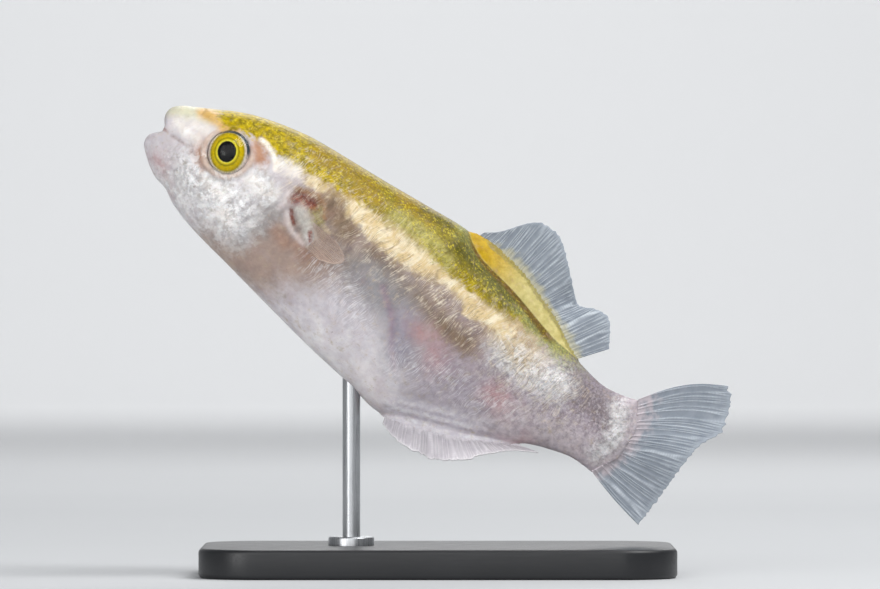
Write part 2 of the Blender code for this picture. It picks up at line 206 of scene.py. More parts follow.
def near_path(along: Array, height: Array, path: Curve) -> Array:
    """Measure how far places in the fish's side view are from a drawn line.

    Args:
        along: stations of the places.
        height: heights of the places.
        path: the line's points, (along, height).

    Returns:
        The distance of each place from the line.
    """
    best = np.full(along.shape, 1e9)
    for (x0, y0), (x1, y1) in zip(path, path[1:]):
        dx, dy = x1 - x0, y1 - y0
        t = np.clip(((along - x0) * dx + (height - y0) * dy) / (dx * dx + dy * dy), 0, 1)
        best = np.minimum(best, np.hypot(along - x0 - t * dx, height - y0 - t * dy))
    return best


def mesh_piece(name: str, points: Array, faces: Sequence[Sequence[int]]) -> Piece:
    """Make a smooth mesh object at the origin, with its place in its mesh.

    Args:
        name: the piece's name.
        points: its corners, in metres.
        faces: its faces, as corner numbers.

    Returns:
        The object.
    """
    mesh = bpy.data.meshes.new(name)
    mesh.from_pydata(points.tolist(), [], faces)
    mesh.update()
    mesh.shade_smooth()
    piece = bpy.data.objects.new(name, mesh)
    bpy.context.scene.collection.objects.link(piece)
    return piece


def loop_faces(rings: int, around: int) -> list[tuple[int, ...]]:
    """List the faces between closed rings of corners.

    Args:
        rings: how many rings.
        around: corners in a ring.

    Returns:
        The faces, as corner numbers.
    """
    return [(r * around + k, r * around + (k + 1) % around, (r + 1) * around + (k + 1) % around,
             (r + 1) * around + k) for r in range(rings - 1) for k in range(around)]


def moved(points: Array, matrix: Matrix) -> Array:
    """Move points by a matrix."""
    m = np.array(matrix)
    return points @ m[:3, :3].T + m[:3, 3]


def pick(*pieces: Piece) -> None:
    """Select only some pieces, and make the first one active.

    Args:
        pieces: the pieces; none deselects all.
    """
    bpy.ops.object.select_all(action="DESELECT")
    for piece in pieces:
        piece.select_set(True)
    if pieces:
        bpy.context.view_layer.objects.active = pieces[0]


def apply_modifier(piece: Piece, name: str, kind: str, **settings: object) -> None:
    """Add a modifier to a piece and apply it.

    Args:
        piece: the mesh object.
        name: the modifier's name.
        kind: its type.
        settings: its attributes.
    """
    modifier = piece.modifiers.new(name, kind)
    for key, value in settings.items():
        setattr(modifier, key, value)
    pick(piece)
    bpy.ops.object.modifier_apply(modifier=name)


def read_points(piece: Piece) -> tuple[Array, Array]:
    """Read a piece's corners and their normals.

    Args:
        piece: the mesh object.

    Returns:
        The corners, in metres, and their normals.
    """
    count = len(piece.data.vertices)
    points = np.empty(count * 3, np.float32)
    normals = np.empty(count * 3, np.float32)
    piece.data.vertices.foreach_get("co", points)
    piece.data.vertices.foreach_get("normal", normals)
    return points.reshape(-1, 3).astype(float), normals.reshape(-1, 3).astype(float)


def write_points(piece: Piece, points: Array) -> None:
    """Move a piece's corners."""
    piece.data.vertices.foreach_set("co", points.astype(np.float32).ravel())
    piece.data.update()


def write_mask(piece: Piece, name: str, values: Array) -> None:
    """Store one number at each corner of a piece, for its material to read."""
    layer = piece.data.attributes.new(name, "FLOAT", "POINT")
    layer.data.foreach_set("value", values.astype(np.float32))


def settle(piece: Piece, slot: str, *nodes: str) -> None:
    """Let a finished piece ride on the model, in place of its solids.

    Args:
        piece: the piece.
        slot: a material slot's name; not used.
        nodes: the CAD nodes that it stands for.
    """
    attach(piece, ROOT)
    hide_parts(*nodes)
    LOG.info("%s: %d faces", piece.name, len(piece.data.polygons))


# ---- The fish's own axes and its body --------------------------------------------------------

@dataclass(frozen=True)
class FishPose:
    """Where the level fish's axes stand in the frame."""

    snout: Place = (-0.03794, 0.0, 0.0605)
    pitch: float = math.radians(33.7)
    percent: float = 0.075 / 100

    @property
    def hundredth(self) -> float:
        """A hundredth of the fish's length, in millimetres."""
        return self.percent / MM

    def matrix(self) -> Matrix:
        """The move from the level fish's axes to the frame."""
        turn = Matrix.Rotation(self.pitch, 4, "Y")
        return Matrix.Translation(self.snout) @ turn @ Matrix.Scale(self.percent, 4)

    def to_world(self, points: Array) -> Array:
        """Turn fish points to metres in the frame."""
        return moved(points, self.matrix())

    def to_fish(self, points: Array) -> Array:
        """Turn points in the frame to the fish's axes."""
        return moved(points, self.matrix().inverted())

    def coordinates(self, node: NodeMaker) -> Node:
        """Add the nodes that give a material the fish's axes, in hundredths of its length.

        Args:
            node: add_node for the material's tree.

        Returns:
            The node of the axes.
        """
        return node("Mapping", {
            "Vector": node("TexCoord").outputs["Object"],
            "Location": self.matrix().inverted().to_translation(),
            "Rotation": (0.0, -self.pitch, 0.0),
            "Scale": (1 / self.percent,) * 3,
        })


POSE = FishPose()


@dataclass(frozen=True)
class Body:
    """The fish's outline from the side and from above, as smooth curves."""

    back: Curve = ((2.6, 6.3), (5, 7.5), (7.5, 8.8), (10, 10.1), (14, 11.7), (20, 13.2), (25, 14.0),
                   (40, 14.7), (50, 15.3), (56, 15.6), (59, 14.1), (62, 12.7), (70, 11.0), (80, 8.2),
                   (86.5, 7.0), (93, 5.9), (97, 6.5), (100, 7.5))
    belly: Curve = ((2.6, -6.5), (5, -7.8), (7.2, -8.3), (10, -9.9), (15, -11.6), (25, -13.7),
                    (35, -15.8), (45, -17.8), (55, -19.4), (61, -20.6), (66, -18.7), (75, -15.7),
                    (84, -11.9), (90, -9.4), (96, -8.1), (100, -8.4))
    half_width: Curve = ((2.6, 5.0), (7, 7.0), (13, 8.8), (20, 9.9), (30, 10.7), (42, 11.0),
                         (55, 10.2), (68, 8.1), (80, 5.3), (90, 3.2), (95, 2.3), (98.5, 1.35), (100, 0.7))
    widest: Curve = ((2.6, -0.4), (13, 0.8), (30, 0.4), (50, -1.6), (75, -2.2), (100, -0.6))
    squareness: Curve = ((2.6, 2.25), (13, 2.5), (30, 2.35), (60, 2.1), (100, 2.0))
    lip_rings: tuple = (
        (2.6, 0.75, 2.6, 0.0, 2.9, 1.2),
        (1.5, 0.75, 1.4, -0.05, 2.0, 2.0),
        (0.75, 1.3, 0.35, -0.9, 1.75, 2.9),
        (0.0, 2.6, -0.55, -2.2, 1.35, 3.6),
        (0.15, 4.2, -0.35, -3.8, 1.4, 4.2),
        (1.2, 5.45, 0.8, -5.0, 1.9, 4.6),
        (2.6, 6.3, 2.6, -6.5, 2.6, 5.0),
    )
    muzzle: float = 2.6
    mouth_line: float = 0.35
    stalk: float = 88.0
    end: float = 100.0
    end_bulge: float = 3.0
    ring_blend: float = 1.5

    def side_at(self, along: Array, height: Array) -> Array:
        """Find how far the body's side stands from its midline.

        Args:
            along: places along the fish.
            height: their heights.

        Returns:
            The distances there.
        """
        widest = eased(self.widest, along)
        edge = np.where(height > widest, eased(self.back, along), eased(self.belly, along))
        power = eased(self.squareness, along)
        share = np.minimum(np.abs((height - widest) / (edge - widest)), 1.0)
        return eased(self.half_width, along) * (1 - share ** power) ** (1 / power)

    def height_at(self, along: Array, sideways: Array, side: int) -> Array:
        """Find the height of the back or belly, off the midline too.

        Args:
            along: places along the fish.
            sideways: how far they are from the midline.
            side: 1 for the back and -1 for the belly.

        Returns:
            The heights there.
        """
        widest = eased(self.widest, along)
        edge = eased(self.back if side > 0 else self.belly, along)
        power = eased(self.squareness, along)
        share = np.minimum(np.abs(sideways) / eased(self.half_width, along), 1.0)
        return widest + (edge - widest) * (1 - share ** power) ** (1 / power)

    def stalk_end(self, height: Array) -> Array:
        """Find where the tail stalk's rounded end is.

        Args:
            height: heights on it.

        Returns:
            Places along the fish at those heights.
        """
        widest = eased(self.widest, self.end)
        edge = np.where(height > widest, eased(self.back, self.end), eased(self.belly, self.end))
        share = np.clip((height - widest) / (edge - widest), 0, 1)
        return self.end + self.end_bulge * (1 - share ** self.ring_blend)

    def rings(self, around: int, step: float) -> Array:
        """Every ring of the body, from inside the mouth to the tail.

        Args:
            around: points in a ring.
            step: the distance between rings.

        Returns:
            An array of rings by points by axes.
        """
        turn = np.linspace(0, 2 * math.pi, around, endpoint=False)
        lip_marks = np.array(self.lip_rings)
        per_ring = 9
        rows = np.arange(per_ring * (len(lip_marks) - 1)) / per_ring
        lips = spline(lip_marks, rows.astype(int), rows - rows.astype(int))
        out_share = rows / rows[-1]
        muzzle_widest = float(eased(self.widest, self.muzzle))
        lip_widest = self.mouth_line + (muzzle_widest - self.mouth_line) * out_share ** 2
        lip_power = 2.0 + 0.25 * out_share
        at = np.append(np.arange(self.muzzle, self.end - step / 2, step), self.end)
        bulge = self.end_bulge * np.maximum(0, (at - self.stalk) / (self.end - self.stalk)) ** 2
        body = np.stack((at, eased(self.back, at), at, eased(self.belly, at), at + bulge,
                         eased(self.half_width, at)), axis=1)
        marks = np.concatenate((lips, body))[:, None, :]
        widest = np.concatenate((lip_widest, eased(self.widest, at)))[:, None]
        power = np.concatenate((lip_power, eased(self.squareness, at)))[:, None]
        up = np.abs(np.cos(turn)) ** (2 / power)
        out = np.abs(np.sin(turn)) ** (2 / power) * np.sign(np.sin(turn))
        over = np.cos(turn) >= 0
        end_along = np.where(over, marks[:, :, 0], marks[:, :, 2])
        end_height = np.where(over, marks[:, :, 1], marks[:, :, 3])
        blend = up ** self.ring_blend
        along = marks[:, :, 4] + (end_along - marks[:, :, 4]) * blend
        return np.stack((along, marks[:, :, 5] * out, widest + (end_height - widest) * up), axis=2)


BODY = Body()


def lofted(name: str, rings: Array) -> Piece:
    """Skin a stack of closed rings, capped at both ends.

    Args:
        name: the piece's name.
        rings: rings by points by axes, in the fish's axes.

    Returns:
        The closed mesh object.
    """
    count, around = rings.shape[:2]
    faces = loop_faces(count, around)
    faces += [tuple(range(around)), tuple(range((count - 1) * around, count * around))]
    piece = mesh_piece(name, POSE.to_world(rings.reshape(-1, 3)), faces)
    bm = bmesh.new()
    bm.from_mesh(piece.data)
    bmesh.ops.recalc_face_normals(bm, faces=bm.faces)
    bm.to_mesh(piece.data)
    bm.free()
    return piece


@dataclass(frozen=True)
class Lobe:
    """The fleshy ridge under the dorsal or the anal fin."""

    edge: Curve
    side: int
    half_width: float
    lean: float = 0.0
    least_height: float = 0.45
    seam: float = 0.4
    sunk: float = 2.2
    rounded: float = 2.2
    overrun: float = 0.8
    narrowing: float = 0.45
    crest_taper: float = 0.62
    fullness: float = 1.15

    def edge_at(self, along: Array) -> Array:
        """Find the height of the ridge's outer edge.

        Args:
            along: places along the fish.

        Returns:
            The heights there.
        """
        foot = BODY.height_at(along, np.zeros_like(along), self.side) + self.side * self.seam
        tall = np.maximum(self.side * (eased(self.edge, along) - foot), self.least_height)
        return foot + self.side * tall

    def wide_at(self, along: Array) -> Array:
        """The ridge's half width at its foot."""
        first, last = self.edge[0][0], self.edge[-1][0]
        return self.half_width * (1 - self.narrowing * (along - first) / (last - first))

    def rings(self, count: int = 90, around: int = 28) -> Array:
        """Work out closed sections of the ridge, rooted under the skin.

        Args:
            count: how many sections.
            around: points in a section.

        Returns:
            Sections by points by axes.
        """
        along = np.linspace(self.edge[0][0] - self.overrun, self.edge[-1][0] + self.overrun, count)
        foot = BODY.height_at(along, np.zeros(count), self.side)
        root = foot - self.side * self.sunk
        ends = np.minimum(smooth_step(along[0], along[0] + self.rounded, along),
                          smooth_step(-along[-1], -along[-1] + self.rounded, -along))
        top = foot + (self.edge_at(along) - foot) * ends
        turn = np.linspace(0, 2 * math.pi, around, endpoint=False)[None, :]
        up = (1 + np.cos(turn)) / 2
        height = root[:, None] + (top - root)[:, None] * up
        taper = 1 - self.crest_taper * smooth_step(0.35, 1.0, up)
        rise = np.maximum(self.side * (height - foot[:, None]), 0)
        sideways = self.wide_at(along)[:, None] * np.sin(turn) * taper * self.fullness + self.lean * rise
        return np.stack((np.broadcast_to(along[:, None], sideways.shape), sideways, height), axis=2)


DORSAL_LOBE = Lobe(((57, 16.0), (62, 16.3), (68, 15.6), (75, 13.2), (80, 11.0), (84, 8.7), (86.5, 7.5)),
                   1, 1.9)
ANAL_LOBE = Lobe(((62, -21.2), (67, -20.0), (72, -18.4), (78, -16.0), (86, -12.2)), -1, 1.7, -0.35)


@dataclass(frozen=True)
class EyePlace:
    """Where an eyeball sits; side is -1 on the fish's left and 1 on its right."""

    side: int
    along: float = 13.7
    height: float = 3.3
    half_depth: float = 2.9
    inset: float = 1.0
    forward: float = math.radians(18)
    lid: float = 3.86

    def centre(self) -> Array:
        """The eyeball's centre, in the fish's axes."""
        out = float(BODY.side_at(np.array(self.along), np.array(self.height))) - self.inset
        return np.array((self.along, self.side * out, self.height))

    def turn(self) -> Matrix:
        """The turn that points +Z out of the eye."""
        return Euler((self.side * -math.pi / 2, 0.0, self.side * self.forward)).to_matrix()

    def polar(self, points: Array) -> tuple[Array, Array, Array]:
        """Measure places from the eye's axis.

        Args:
            points: places in the fish's axes.

        Returns:
            Distance out along the axis, distance from it, and the direction from it.
        """
        offset = points - self.centre()
        axis = np.array(self.turn())[:, 2]
        out = offset @ axis
        across = offset - out[:, None] * axis
        radius = np.linalg.norm(across, axis=1)
        return out, radius, across / np.maximum(radius, 1e-9)[:, None]


EYES = (EyePlace(-1), EyePlace(1))


# ---- The skin --------------------------------------------------------------------------------

class Grain(Enum):
    """A pattern that breaks up pigment: its size in millimetres along, through and across its lay."""

    FINE = (0.32, 0.32, 0.32)
    MEDIUM = (0.85, 0.85, 0.85)
    COARSE = (2.6, 2.6, 2.6)
    STREAK = (2.4, 0.9, 0.12)
    BRUSH = (2.4, 1.5, 0.8)
    FOIL = (2.2, 1.4, 1.1)


FINE, MEDIUM, COARSE, STREAK, BRUSH, FOIL = Grain


@dataclass(frozen=True)
class Pigment:
    """One coat of colour in the skin: where it lies and how it is grained.

    The tint runs from light to dark with one channel of the grain, and the edge is broken up by
    another channel of it.
    """

    mask: str
    light: str
    dark: str
    grain: Grain
    breakup: float
    edge: float = 0.35
    strength: float = 1.0
    channels: tuple[int, int] = (0, 1)
    edge_grain: Grain = MEDIUM


class SkinMarks:
    """Where each pigment of the skin lies, as a number at each place: over 0.5 is inside."""

    gold_line: Curve = (
        (8, 6.6), (10, 6.6), (14, 7.6), (18, 8.1), (21, 7.7), (27, 8.2), (33, 8.7), (38, 9.1), (45, 9.7),
        (50, 9.4), (56, 7.8), (65, 6.8), (75, 7.2), (82, 6.2), (88, 6.6))
    cream_line: Curve = (
        (20, 7.6), (26, 7.2), (35, 7.4), (40, 6.6), (45, 5.0), (50, 4.6), (60, 4.8), (66, 4.0), (72, 1.6),
        (80, -1.0), (86, -1.4), (90, 0.5))
    flank_line: Curve = (
        (24, 1.0), (30, -4.0), (36, -5.0), (45, -3.8), (52, -2.2), (60, -2.4), (66, -3.0), (74, -3.4),
        (86, -4.0))
    belly_line: Curve = (
        (0, -1.0), (8, -6.5), (20, -8.5), (30, -11.5), (45, -10.5), (56, -9.5), (64, -13.0), (75, -13.0),
        (90, -9.0), (100, -8.0))
    green_line: Curve = (
        (50, 15.6), (56, 13.0), (60, 11.2), (64, 10.2), (68, 9.0), (72, 8.0), (80, 5.4), (87, 4.2))
    olive_line: Curve = ((8, 10), (22, 12.5), (34, 10.6), (46, 9.2), (60, 8), (88, 7))
    snout_line: Curve = ((0, 2.6), (4, 4.2), (8, 5.4))
    stipple_line: Curve = ((50, 6), (84, 3.6), (92, 2.0), (104, 4.0))
    mouth_fold: Curve = ((3.3, 0.2), (7, 0.3), (9, -0.7), (11.2, -1.4), (13.6, -1.5))
    gut_fold: Curve = ((50, -1.5), (52.5, -3.5), (54.6, -5.4), (57.2, -9.6), (60, -12.6))
    # Each mask's brush strokes: how wide, how strong, and the lines drawn with them.
    strokes: dict[str, tuple[tuple, ...]] = {
        "pale_gold": (
            (1.1, 0.8, ((28.6, 7.4), (31, 7.4))), (0.9, 0.5, ((35.2, 1.6), (36, 0.4))),
            (1.9, 1.15, ((38.5, 7.8), (43, 6.7), (49, 6.1), (54, 6.4))),
            (1.1, 0.9, ((57.5, 6.2), (61.5, 5.9), (65, 5.2))),
            (1.3, 1.05, ((65, 3.8), (69, 4.9), (73, 4.2)))),
        "brown": (
            (2.0, 1.15, ((33.6, 5.8), (35.6, 5.2), (38.8, 3.8))),
            (1.9, 0.95, ((45, 2.6), (50, 1.6)), ((51, 0.6), (57, 0.2), (62, -1.0), (68, -1.8)))),
        # Painted shade: grey darkening below the front of the gill and on the flank behind the pectoral fin.
        "ash": (
            (2.5, 1.1, ((25.4, -4.2), (25.6, -1.4)), ((44.8, -1.2), (47.5, -0.8), (51.0, -2.4))),
            (1.5, 0.85, ((24.6, -5.0), (24.2, -8.6)))),
        "amber": (
            (2.0, 0.9, ((27, 12), (34, 12.4), (38, 12.0)), ((36, 10.2), (40, 11.2)),
             ((44, 14.0), (49, 14.2))),),
        "dusk": (
            (1.7, 1.0, ((57, 12.2), (61, 11.3), (65.5, 10.8), (70, 9.3))),
            (1.2, 0.8, ((48, 14.4), (54, 14.4)))),
        "lime": ((1.5, 1.0, ((45, 10.4), (51, 10.4), (57, 9.0))),),
        "ochre": ((1.2, 1.05, ((5.8, 6.8), (8, 7.2), (10.4, 7.1)), ((10.4, 6.4), (12, 7.6))),),
        "tan": ((4.2, 1.05, ((20, -13), (26, -11.6), (30, -10.5)), ((28, -6.0), (33, -6.5), (37, -4.5))),),
        "copper": ((1.6, 0.8, ((33, -3.6), (35.5, -4.4), (37.5, -3.2)), ((28.5, -3.6), (31, -4.4))),),
        "slate": ((3.6, 1.05, ((45.5, -2.5), (52.5, -2.6), (57, -4.6), (59, -10))),),
        "fold": ((0.6, 0.8, gut_fold),),
        "violet": ((2.4, 0.85, ((56.4, -4.4), (58.6, -9.5))),),
        "silver": (
            (4.5, 1.05, ((10.6, -4.8), (15, -5.0), (19.6, -5.4))), (1.8, 1.0, ((21.0, 2.4), (23.6, 0.8))),
            (2.4, 1.0, ((16.5, -2.0), (21, -3.0))), (2.2, 1.0, ((17, -6.0), (21, -7.6))),
            (2.8, 1.0, ((74.5, 1.2), (80, 0.8), (85.5, 1.8))),
            (1.6, 0.8, ((97.5, 4.0), (99.5, 0.0), (98.6, -5.0)))),
        "white": (
            (1.2, 1.0, ((22.6, 6.8), (25.2, 7.2)), ((19.6, 1.6), (21, 1.2), (24, 1.4)),
             ((13.6, -3.2), (16.6, -3.4)), ((18.8, -6.2), (20.8, -7.0))),
            (1.2, 0.9, ((3.2, 2.6), (7.4, 2.4)), ((5.6, 4.2), (8.6, 4.4)))),
        "sheen": (
            (3.8, 0.75, ((43, -10), (50, -10), (54, -12.4)),
             ((61, -14.5), (68, -12.5), (76, -10.2), (83, -8.8))),),
        "arc": ((0.42, 1.0, ((17.0, 8.5), (18.4, 8.4), (20.3, 7.6), (21.6, 6.4), (22.2, 5.4))),),
        "rust": (
            (1.4, 0.95, ((17.6, 6.9), (18.8, 5.6))), (1.3, 0.72, ((8.4, 2.2), (9.3, 0.2), (10.8, -0.8)))),
        "freckle": ((4.4, 1.0, ((77, -2), (86, -2.2), (98, -0.5))),),
        "shade": ((3.0, 0.9, ((86, 3.2), (92, 2.2), (97, 1.5))),),
        "pleat": (
            (0.36, 0.9, ((61.5, -19.3), (66, -18.1), (70, -16.7), (75, -15.0), (80, -13.1), (84, -11.2)),
             ((63.5, -17.4), (66.5, -16.4), (70, -15.2), (75, -13.4), (79, -11.9))),),
        # Painted light: the pale band beside the anal fin's foot is the fish's own, and is made paler where
        # the underside lies in shade.
        "pleat_light": (
            (1.8, 1.15, ((62.5, -18.3), (66.2, -17.3), (70, -15.9), (75, -14.2), (79.4, -12.5))),),
        "gill_rim": ((0.7, 0.9, ((27.6, 4.6), (29.2, 5.2), (31.3, 5.6), (32.9, 4.6), (34.2, 3.2))),),
        "moss": ((1.1, 0.9, ((32.2, 3.2), (33.8, 1.8))),),
        "pad": ((1.05, 1.0, ((29.8, 1.8), (32, 0.5), (34.4, -1.4))),),
        # White flesh left of the gill slit, and painted highlights along the gill cover's edge and on the
        # chest fin's pad.
        "pearl": (
            (0.5, 0.9, ((26.5, 3.6), (26.9, 1.6), (26.6, -0.1)), ((33.6, -1.2), (34.8, -2.3)),
             ((28.3, 0.4), (29.4, -1.2), (30.9, -2.1), (33.8, -2.9))),),
        "gill": (
            (0.95, 1.0, ((28.1, 3.1), (28.9, 3.8), (30.1, 3.9), (31.3, 3.9))),
            (0.34, 0.9, ((28.6, 1.0), (29.3, 0.2), (30.4, -0.8)), ((33.6, -0.4), (34.6, -1.8)))),
        "streaks": ((3.6, 1.15, ((27, 7.6), (38, 6.2), (56, 3.4), (72, 1.8), (80, 0.2), (87, -0.6))),),
        "glints": (
            (2.6, 1.0, ((38, -3.6), (44, -5.2), (49, -8)), ((67, -8.6), (74, -9.4), (80, -7.0)),
             ((60, -11), (64, -10))),),
        # Painted shade along the fold from the mouth's corner to below the eye.
        "crease": ((0.32, 0.8, mouth_fold),),
        # Painted light: the lower belly is white, and is made whiter here where its underside lies in shade.
        "white_belly": ((4.2, 0.95, ((46, -14.5), (52, -14.6), (59, -17))),),
        "stalk_light": (
            (3.4, 0.95, ((84, -8), (90, -6.6), (99, -5.4)), ((98.5, 4.5), (99.5, 0))),
            (1.6, 1.2, ((77.5, -12.6), (80, -11.5), (84, -10.0)))),
    }
    blushes: tuple[tuple, ...] = (
        (2.3, 1.15, ((77.5, -6.6), (81, -7.8), (85, -9.6))),
        (1.5, 0.6, ((3.4, -4.6), (8.6, -7.8)), ((55, -15.5), (62, -18.6))),
        (2.1, 0.62, ((59.6, -4.0), (62.4, -5.0), (66, -7.2))))
    # Strokes that fade out towards the ends of a stretch of the body: from, to, and how softly.
    stretches: dict[str, tuple[float, float, float]] = {
        "slate": (43, 64, 8), "freckle": (68, 110, 8), "pleat": (62, 79, 9), "pleat_light": (60, 78, 10)}
    # Where the ring of skin round the eye stands, from the eye's axis.
    eye_rim: float = 4.4
    # The dark patch behind the gill, which the pale streaks leave bare.
    bare: tuple = (1.9, 1.1, ((34, 5.4), (36.8, 4.6)))

    def __init__(self, points: Array) -> None:
        """Read the places.

        Args:
            points: places on the skin, in the fish's axes.
        """
        self.along = points[:, 0]
        self.out = np.abs(points[:, 1])
        self.height = points[:, 2]
        self.eye = np.minimum(*(place.polar(points)[1] + 100 * (points[:, 1] * place.side < 0)
                                for place in EYES))

    def above(self, line: Curve, soft: float) -> Array:
        """A rise from 0 to 1 across a line drawn along the body."""
        return np.clip(0.5 + (self.height - eased(line, self.along)) / soft, 0, 1)

    def stroke(self, radius: float, peak: float, *paths: Curve) -> Array:
        """Soft brush strokes on both flanks; a value of half the peak lies at their edges."""
        away = np.minimum.reduce([near_path(self.along, self.height, path) for path in paths])
        return peak * np.clip(1.0 - away / (2 * radius), 0, 1)

    def between(self, start: float, end: float, soft: float) -> Array:
        """A stretch along the body with soft ends."""
        return (np.clip(0.5 + (self.along - start) / soft, 0, 1)
                * np.clip(0.5 + (end - self.along) / soft, 0, 1))

    def all(self) -> dict[str, Array]:
        """Work out every mask.

        Returns:
            The masks by name.
        """
        eye, height, between = self.eye, self.height, self.between
        marks = {name: np.maximum.reduce([self.stroke(*stroke) for stroke in strokes])
                 for name, strokes in self.strokes.items()}
        for name, stretch in self.stretches.items():
            marks[name] = marks[name] * between(*stretch)
        marks["crease"] = marks["crease"] * np.where(eye > self.eye_rim, 1, 0)
        marks["streaks"] = marks["streaks"] * smooth_step(6, 10, eye) * (1 - self.stroke(*self.bare))
        back_foot, belly_foot = (BODY.height_at(self.along, self.out, side) for side in (1, -1))
        lobe = np.clip(0.5 + (height - back_foot - 0.25) / 0.5, 0, 1) * between(56.2, 88, 1.0)
        top = DORSAL_LOBE.edge_at(self.along)
        gold = self.above(self.gold_line, 3.2) * between(8.0, 87, 4.5)
        green = self.above(self.green_line, 4.0) * between(54, 88.5, 9)
        return marks | {
            "gold": gold,
            "flecks": gold * (1 - lobe) * (1 - 0.5 * green) * smooth_step(4.6, 6.0, eye),
            "cream": self.above(self.cream_line, 4.0) * between(24, 81, 9),
            "lobe": lobe,
            # The dark line along the foot of the dorsal ridge.
            "groove": np.exp(-((height - back_foot + 0.05) / 0.42) ** 2) * np.exp(-(self.out / 3.2) ** 4)
            * between(57.5, 81, 5.0),
            "flank": self.above(self.flank_line, 8.0) * (between(27, 54, 10) + 0.8 * between(54, 76, 10)),
            "belly": 1 - self.above(self.belly_line, 7.0),
            "lilac": between(60, 104, 16) * 0.95,
            "olive": self.above(self.olive_line, 5.0) * between(18, 90, 12),
            "green": green,
            "lobe_front": lobe * between(50, 67, 10),
            "lobe_top": lobe * np.clip(0.5 + (height - top + 1.15) / 0.9, 0, 1) * between(61, 90, 4),
            "snout": between(-3, 8.8, 3) * self.above(self.snout_line, 2.6),
            "blush": sum(self.stroke(*stroke) for stroke in self.blushes),
            "rim": np.exp(-((eye - self.eye_rim) / 0.6) ** 2) * (1 - 0.85 * smooth_step(4.6, 6.6, height)),
            "anal_lobe": np.clip(0.5 + (belly_foot - height - 0.3) / 0.5, 0, 1) * between(62, 84, 6),
            "socket": smooth_step(4.0, 3.7, eye),
            "stipple": self.above(self.stipple_line, 4.0) * between(84.5, 97, 6),
            # Painted shade along the line where the lips meet, in place of the mouth's slit.
            "mouth": np.exp(-((height - 0.35) / 0.38) ** 2) * smooth_step(3.6, 1.2, self.along),
        }


